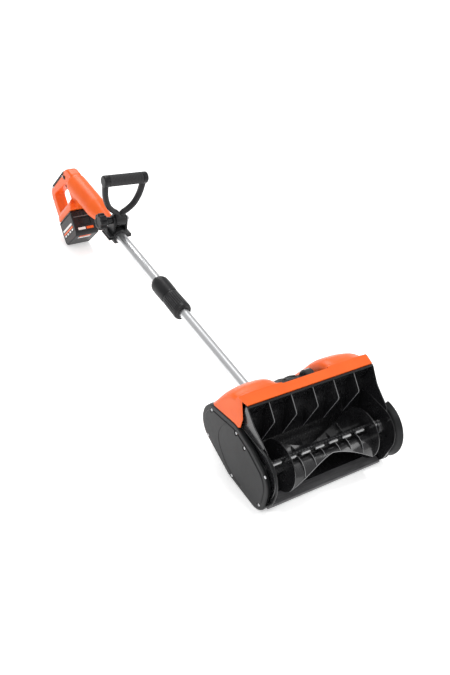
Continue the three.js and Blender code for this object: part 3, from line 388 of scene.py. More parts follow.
# %% [markdown]
# ### Metals and the circuit board
#
# The tubes are drawn aluminium: the die leaves hair lines along the tube, which a noise stretched
# along y gives. Screws, shafts and the motor can are bright steel with turned rings. The contacts
# are brass that has darkened a little, and the board is green with fine copper tracks under the
# lacquer.

# %% Metal finishes
def metal(name, colour, other, roughness, grain, depth):
    """A metal whose lines follow the way it was worked."""
    paint = Paint(name, colour, roughness, metallic=1.0)
    lines = paint.noise(grain, detail=4, roughness=0.6)
    stain = paint.noise(even(35), detail=4).between(0.45, 0.8)
    paint.shift_colour(stain, other)
    paint.set("Roughness", roughness - 0.07 + 0.14 * lines + 0.06 * stain)
    paint.bump(lines, depth)
    return paint.material


def board_finish():
    """Green lacquer over a grid of copper tracks."""
    paint = Paint("circuit_board", (0.02, 0.13, 0.05), 0.35, coat=0.4)
    settings = {"wave_type": "BANDS", "bands_direction": "X"}
    values = {"Vector": paint.grain_place(even(3)), "Scale": 1.0, "Distortion": 3.0}
    tracks = paint.node("ShaderNodeTexWave", settings, values, output="Fac").between(0.7, 0.85)
    paint.shift_colour(tracks, (0.08, 0.24, 0.07))
    paint.set("Metallic", 0.3 * tracks)
    paint.bump(tracks, 0.05)
    return paint.material


metals = {
    "tube_aluminium": metal(
        "tube_aluminium", (0.7, 0.705, 0.715), (0.62, 0.625, 0.635), 0.3, (0.5, 90, 0.5), 0.002),
    "steel": metal("steel", (0.62, 0.62, 0.63), (0.5, 0.5, 0.51), 0.3, (0.3, 8, 8), 0.01),
    "brass_contacts": metal(
        "brass_contacts", (0.78, 0.55, 0.23), (0.55, 0.36, 0.15), 0.3, even(2), 0.02),
    "circuit_board": board_finish(),
}
finishes = {**plastics, **metals}
print(len(finishes), "finishes")

# %% [markdown]
# ## Ways to model
#
# Almost everything here is one of a few shapes. A *pulled* piece is an outline drawn in side view
# and carried across x, with its rims rounded by drawing the outline a little smaller at both
# ends. A *turned* piece is a profile spun about a line. A *swept* piece is a section carried along
# a path. All three are skins over rings of points, so they share one function. Pieces are joined
# and cut while they are still in millimetres, and only then placed in the world.

# %% Outlines
def arc(centre, radius, start, end, steps=24):
    """Points on an arc in side view, angles in degrees from +y towards +z."""
    angles = [math.radians(start + (end - start) * i / steps) for i in range(steps + 1)]
    return [(centre[0] + radius * math.cos(a), centre[1] + radius * math.sin(a)) for a in angles]


def hull(circles, steps=72):
    """Outline of a tight band round several circles (y, z, radius)."""
    points = []
    for y, z, radius in circles:
        points += arc((y, z), radius, 0, 360 - 360 / steps, steps - 1)
    return [points[i] for i in convex_hull_2d([Vector(p) for p in points])]


def rounded(corners, radius, closed=True, steps=5):
    """Replace each corner of an outline by a curve that starts a radius away from it."""
    smooth = []
    count = len(corners)
    for i, corner in enumerate(corners):
        if not closed and i in (0, count - 1):
            smooth.append(tuple(corner))
            continue
        here = Vector(corner)
        before = Vector(corners[i - 1]) - here
        after = Vector(corners[(i + 1) % count]) - here
        reach = min(radius, 0.48 * before.length, 0.48 * after.length)
        start = here + before.normalized() * reach
        end = here + after.normalized() * reach
        for k in range(steps + 1):
            t = k / steps
            point = start * (1 - t) ** 2 + here * (2 * t * (1 - t)) + end * t ** 2
            smooth.append(tuple(point))
    return smooth


def offset(points, distance, closed=True):
    """Move a path to its left by a distance, with mitred corners."""
    moved = []
    count = len(points)
    for i, point in enumerate(points):
        before = Vector(points[i - 1 if closed else max(i - 1, 0)])
        after = Vector(points[(i + 1) % count if closed else min(i + 1, count - 1)])
        into = (Vector(point) - before).normalized()
        out = (after - Vector(point)).normalized()
        along = (into + out).normalized()
        lean = max(along.dot(out if out.length else into), 0.35)
        reach = distance / lean
        moved.append((point[0] - along.y * reach, point[1] + along.x * reach))
    return moved


def clockwise(outline):
    area = sum(a[0] * b[1] - b[0] * a[1] for a, b in zip(outline, outline[1:] + outline[:1]))
    return area < 0


def smaller(outline, inset):
    """A closed outline drawn smaller by an inset."""
    return offset(outline, -inset if clockwise(outline) else inset)


def wall(path, inner, outer):
    """Closed outline of a wall along a path, between two distances to the path's left."""
    return offset(path, inner, False) + offset(path, outer, False)[::-1]


def bulged(points, steps=6):
    """A smooth path through points, as a Catmull-Rom curve."""
    ends = [points[0]] + list(points) + [points[-1]]
    path = []
    for a, b, c, d in zip(ends, ends[1:], ends[2:], ends[3:]):
        a, b, c, d = (Vector(p) for p in (a, b, c, d))
        for k in range(steps):
            t = k / steps
            square, cube = t * t, t * t * t
            path.append(0.5 * (2 * b + (c - a) * t + (2 * a - 5 * b + 4 * c - d) * square
                               + (3 * b - a - 3 * c + d) * cube))
    path.append(Vector(points[-1]))
    return [tuple(point) for point in path]


print("outlines: arc of 90 degrees has", len(arc((0, 0), 1, 0, 90)), "points")

# %% Skins
def mesh_object(name, vertices, faces):
    """A closed mesh with its faces turned outwards, still in millimetres."""
    data = bpy.data.meshes.new(name)
    data.from_pydata([tuple(v) for v in vertices], [], faces)
    shape = bmesh.new()
    shape.from_mesh(data)
    bmesh.ops.remove_doubles(shape, verts=shape.verts, dist=0.001)
    bmesh.ops.dissolve_degenerate(shape, edges=shape.edges, dist=0.001)
    bmesh.ops.recalc_face_normals(shape, faces=shape.faces)
    shape.to_mesh(data)
    shape.free()
    obj = bpy.data.objects.new(name, data)
    bpy.context.scene.collection.objects.link(obj)
    return obj


def skin(name, rings, looped=False):
    """Join rings of equal count with quads. Unless it is looped, both ends get a flat face."""
    count = len(rings[0])
    vertices = [point for ring in rings for point in ring]
    faces = []
    spans = len(rings) if looped else len(rings) - 1
    for i in range(spans):
        here, there = i * count, (i + 1) % len(rings) * count
        for k in range(count):
            next_k = (k + 1) % count
            faces.append((here + k, here + next_k, there + next_k, there + k))
    if not looped:
        faces.append(tuple(range(count)))
        faces.append(tuple(range((len(rings) - 1) * count, len(rings) * count)))
    return mesh_object(name, vertices, faces)


def stepped(name, outline, stations):
    """Pull an outline across x through stations (x, inset)."""
    return skin(name, [[(x, y, z) for y, z in smaller(outline, inset)] for x, inset in stations])


def soft_stations(start, end, soft, steps=3):
    """Stations from start to end whose first and last few round the rims."""
    turns = [math.radians(90 * i / steps) for i in range(steps + 1)]
    rim = [(soft * (1 - math.cos(a)), soft * (1 - math.sin(a))) for a in turns]
    return [(start + x, i) for x, i in rim] + [(end - x, i) for x, i in reversed(rim)]


def pull(name, outline, start, end, soft=0.0):
    """Pull a side-view outline across x, with its rims rounded by a soft radius."""
    stations = soft_stations(start, end, soft) if soft else [(start, 0), (end, 0)]
    return stepped(name, outline, stations)


def turned(name, profile, centre=(0, 0), across=False, steps=64):
    """Spin a closed profile of (station, radius) about the tube's axis or a line across x."""
    rings = []
    for i in range(steps):
        a = 2 * math.pi * i / steps
        ring = []
        for station, radius in profile:
            u, v = radius * math.cos(a), radius * math.sin(a)
            place = (station, centre[0] + u, centre[1] + v) if across else (u, station, v)
            ring.append(place)
        rings.append(ring)
    return skin(name, rings, looped=True)


def swept(name, path, sections, flat):
    """Carry a section along a path. flat is a direction square to the path's plane."""
    rings = []
    for i, point in enumerate(path):
        here = Vector(point)
        ahead = Vector(path[min(i + 1, len(path) - 1)]) - Vector(path[max(i - 1, 0)])
        side = ahead.normalized().cross(Vector(flat)).normalized()
        rings.append([here + side * u + Vector(flat) * v for u, v in sections(i / (len(path) - 1))])
    return skin(name, rings)


def oval(width, depth, steps=24, power=2.0):
    """A rounded section, squarer as the power rises."""
    points = []
    for i in range(steps):
        a = 2 * math.pi * i / steps
        c, s = math.cos(a), math.sin(a)
        u = math.copysign(abs(c) ** (2 / power), c) * width / 2
        points.append((u, math.copysign(abs(s) ** (2 / power), s) * depth / 2))
    return points


print("skins ready")

# %% Joining, cutting and rounding
def converted(obj):
    """Turn an object and its modifiers into a plain mesh."""
    bpy.context.view_layer.update()
    evaluated = obj.evaluated_get(bpy.context.evaluated_depsgraph_get())
    plain = bpy.data.meshes.new_from_object(evaluated)
    obj.modifiers.clear()
    obj.data = plain
    return obj


def discard(obj):
    bpy.data.objects.remove(obj)


def boolean(operation, base, tools):
    for tool in tools:
        change = base.modifiers.new(operation, "BOOLEAN")
        change.operation = operation
        change.solver = "MANIFOLD"
        change.object = tool
        converted(base)
        discard(tool)
    return base


def union(base, *tools):
    return boolean("UNION", base, tools)


def cut(base, *tools):
    return boolean("DIFFERENCE", base, tools)


def common(base, *tools):
    return boolean("INTERSECT", base, tools)


def block(name, low, high):
    """A box between two corners."""
    outline = [(low[1], low[2]), (high[1], low[2]), (high[1], high[2]), (low[1], high[2])]
    return pull(name, outline, low[0], high[0])


def melted(obj, grain, passes):
    """Rebuild a joined body in even small faces and smooth it, as fillets round every edge."""
    remesh = obj.modifiers.new("even faces", "REMESH")
    remesh.mode = "VOXEL"
    remesh.voxel_size = grain
    smooth = obj.modifiers.new("fillets", "SMOOTH")
    smooth.factor = 0.5
    smooth.iterations = passes
    return converted(obj)


def mirrored(obj):
    """The same piece on the other side of the tool."""
    obj.data.transform(Matrix.Scale(-1, 4, ACROSS))
    obj.data.flip_normals()
    return obj


def place(obj, body, finish, nodes=(), slot=None, axes=TOOL, sharp=38):
    """Put a finished piece in the world: turn it, shade it, dress it and let it ride."""
    obj.data.transform(axes)
    obj.data.polygons.foreach_set("use_smooth", [True] * len(obj.data.polygons))
    obj.data.set_sharp_from_angle(angle=math.radians(sharp))
    shading = obj.modifiers.new("flat faces stay flat", "WEIGHTED_NORMAL")
    shading.keep_sharp = True
    converted(obj)
    if not any(obj.data.materials):
        obj.data.materials.clear()
        obj.data.materials.append(finishes[finish])
    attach(obj, body)
    if nodes:
        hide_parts(*nodes)
    return obj


print("joins and cuts ready")

# %% [markdown]
# ### Repeated parts
#
# Screws, teeth, ribs and ridges are one part repeated. One Geometry Nodes tree does them all: it
# lays the copies in a row with a step, turns each one a little further about an axis, makes them
# real and sets their finish. A second tree puts a screw on each vertex of a small mesh of
# places. The copies become a plain mesh before they are placed.

# %% Geometry Nodes trees
def new_tree(name, sockets):
    """A Geometry Nodes tree with its named inputs, as a graph and the inputs' wires."""
    tree = bpy.data.node_groups.new(name, "GeometryNodeTree")
    tree.interface.new_socket("Places", in_out="INPUT", socket_type="NodeSocketGeometry")
    for title, kind in sockets.items():
        tree.interface.new_socket(title, in_out="INPUT", socket_type="NodeSocket" + kind)
    tree.interface.new_socket("Copies", in_out="OUTPUT", socket_type="NodeSocketGeometry")
    graph = Graph(tree)
    source = tree.nodes.new("NodeGroupInput")
    wires = {title: Wire(graph, source.outputs[title]) for title in ["Places", *sockets]}
    return graph, wires


def end_tree(graph, points, wires, turn):
    """Copy the part to the points, make the copies real and set their finish."""
    part = graph.node("GeometryNodeObjectInfo", values={"Object": wires["Part"]}, output="Geometry")
    values = {"Points": points, "Instance": part, "Rotation": turn}
    copies = graph.node("GeometryNodeInstanceOnPoints", values=values)
    real = graph.node("GeometryNodeRealizeInstances", values={"Geometry": copies})
    values = {"Geometry": real, "Material": wires["Finish"]}
    dressed = graph.node("GeometryNodeSetMaterial", values=values)
    target = graph.tree.nodes.new("NodeGroupOutput")
    graph.feed(target.inputs["Copies"], dressed)
    return graph.tree


def row_tree():
    sockets = {"Part": "Object", "Count": "Int", "Start": "Vector", "Step": "Vector",
               "Axis": "Vector", "Turn": "Float", "Finish": "Material"}
    graph, wires = new_tree("row", sockets)
    values = {"Count": wires["Count"], "Start Location": wires["Start"], "Offset": wires["Step"]}
    points = graph.node("GeometryNodeMeshLine", {"mode": "OFFSET"}, values)
    angle = graph.node("GeometryNodeInputIndex") * wires["Turn"]
    values = {"Axis": wires["Axis"], "Angle": angle}
    turn = graph.node("FunctionNodeAxisAngleToRotation", values=values)
    return end_tree(graph, points, wires, turn)


def spread_tree():
    sockets = {"Part": "Object", "Turn": "Vector", "Finish": "Material"}
    graph, wires = new_tree("spread", sockets)
    return end_tree(graph, wires["Places"], wires, wires["Turn"])


ROW = row_tree()
SPREAD = spread_tree()


def copies(name, tree, host, values):
    """Run a tree on a host object and keep its result as a plain mesh."""
    modifier = host.modifiers.new(name, "NODES")
    modifier.node_group = tree
    for socket in tree.interface.items_tree:
        if socket.in_out == "INPUT" and socket.name in values:
            modifier[socket.identifier] = values[socket.name]
    host.name = name
    converted(host)
    discard(values["Part"])
    return host


def row(name, part, count, finish, start=(0, 0, 0), step=(0, 0, 0), axis=(1, 0, 0), turn=0.0):
    """Copies of a part in a row. Each one is turned further about an axis, in degrees."""
    values = {"Part": part, "Count": count, "Start": start, "Step": step, "Axis": axis,
              "Turn": math.radians(turn), "Finish": finishes[finish]}
    return copies(name, ROW, mesh_object(name, [], []), values)


def spread(name, part, places, finish, turn=(0, 0, 0)):
    """Copies of a part at given places."""
    values = {"Part": part, "Turn": turn, "Finish": finishes[finish]}
    return copies(name, SPREAD, mesh_object(name, places, []), values)


def pan_screw(radius, height, cross):
    """A pan-head screw about z, its head rising from z = 0, with a cross recess."""
    low = -1.0
    curve = [(height * math.sin(math.radians(a)), radius * math.cos(math.radians(a)) ** 0.6)
             for a in range(0, 85, 12)]
    profile = [(low, 0.0), (low, radius), *curve, (height, 0.0)]
    head = turned("screw head", profile, steps=24)
    head.data.transform(Matrix.Rotation(math.radians(90), 4, "X"))
    arm, depth = radius * 0.62, height * 0.5
    bar = (cross / 2, arm, height + 1)
    one = block("slot", (-bar[0], -bar[1], depth), bar)
    two = block("slot", (-bar[1], -bar[0], depth), (bar[1], bar[0], bar[2]))
    return cut(head, union(one, two))


print("ways to model ready")

# %% [markdown]
# ## The scoop
#
# The scoop is one black moulding: a round trough under the rotor, a deflector that rises behind
# it and leans out at both cheeks, five thin vanes that stiffen the deflector, and two end walls
# with a deep rim. A rounded flare round each end of the mouth guides the snow in, and each vane has
# a thin rounded rim whose light grey is a painted highlight. The trough and deflector are one bent
# sheet, so they are skinned along their side-view path, with a width that grows with height.
# meet the sheet's ends exactly.

# %% Scoop sizes
SKIN = 2.6
GAP = 0.3
HALF_HEAD = 160
HALF_MOUTH = 144.5
COVER_INNER = 150.6
DRUM_RADIUS = 62
HOOD_TOP = (-303, 172)
HOOD_WAIST = (-296, 134)
LIP = (-412, 1)
FLARE_START = 105
FLARE = 7.6
VANES, VANE_SPACING = 5, 52
VANE_NOSE = (HOOD_TOP[0] - 30, HOOD_WAIST[1] + 8)
FACET = math.cos(math.radians(7.5))     # the frame's circles have 24 facets


def inside_facets(circles):
    """The same circles, a little smaller, so that round skins stay within the frame."""
    return [(y, z, radius * FACET) for y, z, radius in circles]


SKID = (-386, 22, 35)
COVER_LINE = hull(inside_facets(
    [SKID, (-368, 42, 52), (-335, 62, 44), (-292, 66, 47), (-307, 20, 35), (-232, 52, 46)]))
PAN_LINE = hull(inside_facets(
    [(-374, 62, 54), (-386, 21, 34), (-292, 66, 48), (-307, 20, 35.5), (-232, 52, 47)]))


def half_width(z):
    """Inside half width of the deflector at a height."""
    return HALF_MOUTH + FLARE * max(0, z - FLARE_START) / (HOOD_TOP[1] - FLARE_START)


print("mouth", 2 * HALF_MOUTH, "mm wide, head", 2 * HALF_HEAD, "mm")

# %% Scoop sheet, cheeks and vanes
def trough_sheet():
    drum = arc(AUGER, DRUM_RADIUS, -92, 6, 40)
    path = [LIP, *drum, *rounded([drum[-1], HOOD_WAIST, HOOD_TOP], 9, closed=False)[1:]]
    outer = offset(path, -SKIN, closed=False)
    rings = []
    for (y, z), (back_y, back_z) in zip(path, outer):
        w, back_w = half_width(z) + 1, half_width(back_z) + 1
        ring = [(-w, y, z), (w, y, z), (back_w, back_y, back_z), (-back_w, back_y, back_z)]
        rings.append(ring)
    return skin("sheet", rings)


def cheek(side):
    """A leaning plate that closes the deflector's end, drawn in side view."""
    outline = rounded([
        (AUGER[0] - 14, FLARE_START - 6),
        (AUGER[0] - 6, FLARE_START + 16),
        (HOOD_TOP[0] - 31, HOOD_TOP[1] - 27),
        (HOOD_TOP[0] - 2, HOOD_TOP[1]),
        (HOOD_TOP[0] + 3, HOOD_TOP[1]),
        (HOOD_WAIST[0] + 2, HOOD_WAIST[1]),
        (HOOD_WAIST[0] - 8, FLARE_START - 6),
    ], 7)
    plate = pull("cheek", outline, 0, SKIN, soft=1.2)
    for vertex in plate.data.vertices:
        x, y, z = vertex.co
        vertex.co = (side * (half_width(z) + x), y, z)
    if side < 0:
        plate.data.flip_normals()
    return plate


def end_wall():
    """The right end wall: a plate with a stepped rim, and a bore for the bearing."""
    rim = [(HALF_MOUTH, 1.2), (HALF_MOUTH + 0.4, 0.4), (HALF_MOUTH + 1.3, 0), (149.3, 0),
           (150.3, 0.8)]
    body = stepped("end wall", PAN_LINE, rim)
    hollow = stepped("hollow", PAN_LINE, [(HALF_MOUTH + SKIN, SKIN), (152, SKIN)])
    bore = [(140, 0), (140, 14.3), (150, 14.3), (150, 0)]
    return cut(body, hollow, turned("bore", bore, AUGER, across=True))


def vane():
    top = (HOOD_TOP[0] + 2, HOOD_TOP[1] - 1)
    foot = arc(AUGER, DRUM_RADIUS + 1, 4, 4, 1)[0]
    outline = rounded([top, VANE_NOSE, foot, (HOOD_WAIST[0] + 2, HOOD_WAIST[1])], 5)
    return pull("vane", outline, -1.2, 1.2, soft=1.05)


def mouth_ring():
    """The rounded flare round the front of an end wall, which guides snow inwards."""
    profile = [(HALF_MOUTH, 50), (145.6, 52), (150, 55.6), (155, 60), (157.2, 62), (157.9, 63.4),
               (157.4, 64.6), (155.6, 64.8), (149, 59), (147, 56), (146.8, 50)]
    ring = turned("ring", profile, AUGER, across=True, steps=120)
    front = block("front", (140, -460, LIP[1] - 3), (HALF_HEAD, AUGER[0] + 6, 140))
    cover_room = pull("room", smaller(COVER_LINE, -GAP - 0.5), COVER_INNER - 0.3, 170)
    return cut(common(ring, front), cover_room)


def scoop():
    walls = [end_wall(), mirrored(end_wall())]
    shell = union(trough_sheet(), *walls, cheek(1), cheek(-1))
    shell.name = "scoop"
    return place(shell, "head", "scoop_plastic", ["auger_housing"])


def mouth_rings():
    right, left = mouth_ring(), mirrored(mouth_ring())
    right.name, left.name = "right_mouth_ring", "left_mouth_ring"
    return [place(ring, "head", "cover_plastic") for ring in (right, left)]


def bead(name, path, radius, flat=(1, 0, 0)):
    """A rounded rim along a path. Dressed in the light grey edge finish, it is a painted highlight
    along an edge.
    """
    return swept(name, path, lambda share: oval(2 * radius, 2 * radius, 10), flat)


# The vane rim's light grey finish is a painted highlight along the vane's front edge.
def vane_rim():
    top = (HOOD_TOP[0] - 1, HOOD_TOP[1] - 4)
    foot = arc(AUGER, DRUM_RADIUS + 0.4, 4, 4, 1)[0]
    line = rounded([top, VANE_NOSE, foot], 4, closed=False)
    return bead("vane rim", [(0, y, z) for y, z in line], 0.7)


def vane_row(name, part, finish):
    """One part on every vane."""
    start = (-(VANES - 1) / 2 * VANE_SPACING, 0, 0)
    parts = row(name, part, VANES, finish, start, (VANE_SPACING, 0, 0))
    return place(parts, "head", finish, slot="scoop_plastic")


def deflector_bead():
    """The rolled top edge of the deflector, which catches the light under the orange strip."""
    half = HALF_MOUTH + FLARE
    profile = [(-half, 0), (-half, 1), (1 - half, 2), (half - 1, 2), (half, 1), (half, 0)]
    edge = turned("deflector_bead", profile, (HOOD_TOP[0] - 1.5, HOOD_TOP[1] - 1.2), across=True)
    return place(edge, "head", "cover_plastic")


scoop_pieces = [
    scoop(),
    *mouth_rings(),
    vane_row("scoop_vanes", vane(), "scoop_plastic"),
    vane_row("scoop_vane_rims", vane_rim(), "edge_plastic"),
    deflector_bead(),
]
for made in scoop_pieces:
    print(made.name, len(made.data.polygons), "faces")

# %% [markdown]
# ## Side covers and their screws
#
# Each side cover is a satin plate with a rounded rim. A shallow terrace follows the outline, which
# stiffens the moulding, and a raised panel edge stands in its middle. Stepped insets of the one
# outline give rim and terrace together. Seven screws hold each cover, with a sunk seat for each.

# %% Side covers
COVER_SCREWS = [(-213, 81), (-218, 14), (-297, 98), (-329, 89), (-314, -6), (-400, 83), (-405, 8)]
HEAD_RADIUS = 3.3


def side_cover():
    """The right cover, from its rim inside to its face outside."""
    steps = [(COVER_INNER, 0.4), (151, 0), (155.6, 0), (157, 0.5), (158, 1.6), (158.5, 3.4),
             (158.5, 10.4), (158.9, 10.9), (159.6, 11.6), (160, 12.6)]
    body = stepped("right_side_cover", COVER_LINE, steps)
    hollow = stepped("hollow", COVER_LINE, [(149, SKIN), (HALF_HEAD - SKIN - 1.5, SKIN)])
    seats = []
    for place_on_cover in COVER_SCREWS:
        seat = [(157.7, 0), (157.7, HEAD_RADIUS + 1.2), (161, HEAD_RADIUS + 1.9), (161, 0)]
        seats.append(turned("seat", seat, place_on_cover, across=True, steps=24))
    return cut(body, hollow, *seats)


def panel_edge(x, height):
    """A low raised line that runs across the cover's face."""
    path = bulged([(-262, 95), (-252, 72), (-250, 48), (-262, 28), (-296, 4), (-344, -3)], 8)
    outline = wall(path, -0.8, 0.8)
    return stepped("panel edge", outline, [(x - 1, 0), (x + height, 0.1)])


def cover_screws(side):
    x = 158.0
    head = pan_screw(HEAD_RADIUS, 1.4, 1.0)
    places = [(side * x, y, z) for y, z in COVER_SCREWS]
    turn = (0, math.radians(90 * side), 0)
    name = "right_cover_screws" if side > 0 else "left_cover_screws"
    return place(spread(name, head, places, "steel", turn), "head", "steel")


def covers():
    right = union(side_cover(), panel_edge(159.9, 0.5))
    left = mirrored(union(side_cover(), panel_edge(159.9, 0.5)))
    left.name = "left_side_cover"
    place(right, "head", "cover_plastic", ["right_cover"])
    place(left, "head", "cover_plastic", ["drive_cover"])
    return [right, left, cover_screws(1), cover_screws(-1)]


for made in covers():
    print(made.name, len(made.data.polygons), "faces")

# %% [markdown]
# ## The orange cover
#
# The orange cover has a flat strip on top and two humps behind it that hide the motor and the
# drive, with an open bay between them for the tube. A hump keeps the cover's rear outline in its
# middle and rounds off towards its ends. It is skinned across x from copies of that outline, each
# one moved inwards by the rounding at its place. It falls quickly towards the bay and slowly
# towards the outer end. The strip stays flat, because the inset only starts behind it. The hollow
# inside is the same skin, drawn smaller and open to the front.

# %% Orange cover
COVER_TOP = HOOD_TOP[1] + SKIN + 1
STRIP_END = HOOD_TOP[0] + 24
HALF_COVER = 157
HALF_BAY = 56
FLANK = 1.7                             # wall beside the deflector
ROUNDING = 16                           # how far a hump falls at its ends
BAY_ROUNDING, END_ROUNDING = 28, 62     # how far in from its ends a hump starts to fall
REAR_LINE = bulged([
    (STRIP_END + 3, COVER_TOP + 1.5), (-264, 173.5), (-244, 163), (-221, 138), (-201, 101),
    (-181, 64), (-178, 44), (-183, 24), (-194, 9)])
TOP_LINE = [(HOOD_TOP[0] + 1, COVER_TOP), (STRIP_END - 8, COVER_TOP), (STRIP_END, COVER_TOP),
            *REAR_LINE]


def rounding(distance, reach):
    """How far a surface has dropped at a distance from its end, on a quarter of an oval."""
    short = max(0.0, 1 - distance / reach)
    return ROUNDING * (1 - math.sqrt(1 - short ** 2))


def hump_line(inset):
    """The cover's outline with everything behind the strip moved inwards."""
    moved = offset(TOP_LINE, inset, closed=False)
    line = []
    for (y, z), (in_y, in_z) in zip(TOP_LINE, moved):
        share = min(1.0, max(0.0, (y - STRIP_END) / 14))
        share = share * share * (3 - 2 * share)
        if z < MOTOR[1]:
            share = 1.0
        line.append((y + (in_y - y) * share, z + (in_z - z) * share))
    return line


def hump(name, start, end, extra):
    """A solid under the rear outline from start to end across x, all drawn in by an extra."""
    rings = []
    steps = 26
    for i in range(steps + 1):
        share = i / steps
        x = start + (end - start) * share
        falls = rounding(x - HALF_BAY, BAY_ROUNDING), rounding(HALF_COVER - x, END_ROUNDING)
        line = hump_line(-max(falls) - extra)
        front = HOOD_TOP[0] + 1
        if extra:
            front = HOOD_TOP[0] - 20
            line = [(y, z - (extra if y <= STRIP_END else 0)) for y, z in line]
            line[0] = (front, line[0][1])
        closing = [MOTOR, (front, HOOD_WAIST[1] - 16)]
        rings.append([(x, y, z) for y, z in [*line, *closing]])
    return skin(name, rings)


def end_facet():
    """The flat that is cut off the cover's front corner."""
    x = HALF_COVER + 0.3
    triangle = [(x, STRIP_END, COVER_TOP + 0.5), (x - 6, HOOD_TOP[0] - 1, COVER_TOP + 0.5),
                (x, HOOD_TOP[0] - 1, HOOD_WAIST[1] - 19)]
    return skin("facet", [triangle, [(px + 12, py - 1, pz) for px, py, pz in triangle]])


def orange_half():
    """The right half of the cover: half of the strip and one hump."""
    outer = hump("outer", HALF_BAY, HALF_COVER, 0.0)
    inner = hump("inner", HALF_BAY + SKIN, HALF_COVER - FLANK, SKIN)
    strip_end = (HALF_BAY + 24, STRIP_END, COVER_TOP)
    strip = block("strip", (-1, HOOD_TOP[0] + 1, COVER_TOP - SKIN), strip_end)
    shell = union(cut(outer, inner), strip)
    cover_room = pull("cover room", smaller(COVER_LINE, -GAP - 0.3), COVER_INNER - 0.2, 170)
    pan_room = pull("pan room", smaller(PAN_LINE, -GAP - 0.4), HALF_MOUTH - 0.5, COVER_INNER)
    back = HOOD_WAIST[0] + SKIN + 1
    top = HOOD_TOP[1] + GAP
    hood = [(back - 50, 90), (back - 50, top), (HOOD_TOP[0] + SKIN + 0.6, top),
            (back, HOOD_WAIST[1]), (back - 9, 90)]
    hood_room = pull("hood room", hood, -HALF_COVER, HALF_COVER - FLANK - 0.1)
    return cut(shell, cover_room, pan_room, hood_room, end_facet())


def orange_cover():
    body = union(orange_half(), mirrored(orange_half()))
    body.name = "orange_cover"
    return place(body, "head", "orange_plastic", ["top_cover"])


made = orange_cover()
print(made.name, len(made.data.polygons), "faces")

# %% [markdown]
# ## The tube socket in the middle bay
#
# Between the humps the black socket moulding shows: a bay that follows the cover's outline, nine
# stiffening ribs across its left part, and a round lug. Under it a sleeve takes the lower tube. The
# ribs are one part in a row.

# %% Bay, ribs, lug and sleeve
BAY_HALF = 55.6
BAY_LINE = bulged([(-278.5, 171), (-264, 163.5), (-246, 149), (-224, 127), (-201, 96),
                   (-181, 64), (-178, 44), (-183, 24), (-194, 9)])


def bay():
    body = pull("tube_socket_bay", wall(BAY_LINE, -12, -22), -BAY_HALF, BAY_HALF, soft=3)
    lug = turned("lug", [(20, 0), (20, 15), (22, 17), (38, 17), (40, 15), (40, 0)], (-258, 141),
                 across=True)
    sleeve = [(-260, 9), (-260, 17), (-258.5, 18.2), (-236, 18.2), (-234, 17.2), (-180, 17.2),
              (-178, 19), (-162, 19), (-158, 17), (-158, 12.9), (-257, 12.9), (-257, 9)]
    webs = []
    for x in (-12, 12):
        web = [(-252, 12), (-240, 138), (-224, 122), (-205, 94), (-186, 64), (-183, 44), (-181, 12)]
        webs.append(pull("web", rounded(web, 4), x - 1.3, x + 1.3))
    body = union(body, lug, *webs, turned("sleeve", sleeve))
    return cut(body, turned("bore", [(-257, 0), (-257, 12.85), (-100, 12.85), (-100, 0)]))


def bay_ribs():
    line = wall(BAY_LINE[:25], -7, -14)
    rib = pull("rib", rounded(line, 2), 0, 3, soft=0.9)
    return row("tube_socket_ribs", rib, 9, "cover_plastic", (-53, 0, 0), (9, 0, 0))


socket = place(bay(), "head", "scoop_plastic", ["tube_socket"])
ribs = place(bay_ribs(), "head", "cover_plastic")
print(socket.name, ribs.name)

# %% [markdown]
# ## Scraper and belly plate
#
# A grey wear strip is clipped to the front edge of the trough and slides on the ground. Its thin
# flange over the trough's front floor is painted light: its grey stands for the lit band on the
# floor. The belly plate closes the head from below. Both are pulled outlines with rounded edges.

# %% Scraper and belly
def scraper():
    profile = rounded([
        (LIP[0] - 4, LIP[1] - 3.2), (LIP[0] - 2.6, LIP[1] + 1.4), (LIP[0] - 0.3, LIP[1] + 1.8),
        (LIP[0] - 0.3, LIP[1] - 3), (LIP[0] + 32, LIP[1] - 4.6), (LIP[0] + 32, LIP[1] - 6.9),
        (LIP[0] + 6, LIP[1] - 6.9),
    ], 1.2)
    strip = pull("scraper_blade_strip", profile, -142, 142, soft=0.8)
    # The flange is painted light: a grey sheet laid on the trough's front floor where the light falls
    # in a band.
    flange = [(LIP[0] - 1, LIP[1] + 0.2), (LIP[0] - 1, LIP[1] + 1.5), (LIP[0] + 21, LIP[1] + 0.9),
              (LIP[0] + 21, LIP[1] - 0.3)]
    strip = union(strip, pull("flange", rounded(flange, 0.5), -142, 142, soft=0.5))
    return place(strip, "head", "scraper_plastic", ["scraper_blade"])


def belly():
    path = rounded([(-351, -5), (-312, -12.3), (-288, -12.3), (-222, 0), (-200, 7)], 8, False)
    plate = pull("belly", wall(path, 0.2, SKIN), 1 - HALF_MOUTH, HALF_MOUTH - 1, soft=0.8)
    room = [(-HALF_MOUTH, 0), (-HALF_MOUTH, 65), (HALF_MOUTH, 65), (HALF_MOUTH, 0)]
    plate = cut(plate, turned("room", room, AUGER, across=True),
                block("socket room", (-19.5, -262, -40), (19.5, 0, 40)))
    return place(plate, "head", "scoop_plastic", ["belly_plate"])


print(scraper().name, belly().name)

# %% [markdown]
# ## The rotor
#
# The rotor is a black moulding on a steel shaft. Two opposite paddles each have a straight toothed
# plate and a curved blade. The blade leads in the middle and trails towards the two discs, so
# it throws the snow up and out. Its surface is skinned from sections across x, each one a curve
# from the hub to the blade's edge. Arc gussets brace plate and blade, and five long slots break
# the plate. The teeth are one part in a row, and so are the raised lips, whose near-white is
# painted light seen through the slots. Thin rounded beads in a light grey follow the blade and
# the gussets; their colour is a painted highlight along the edges.

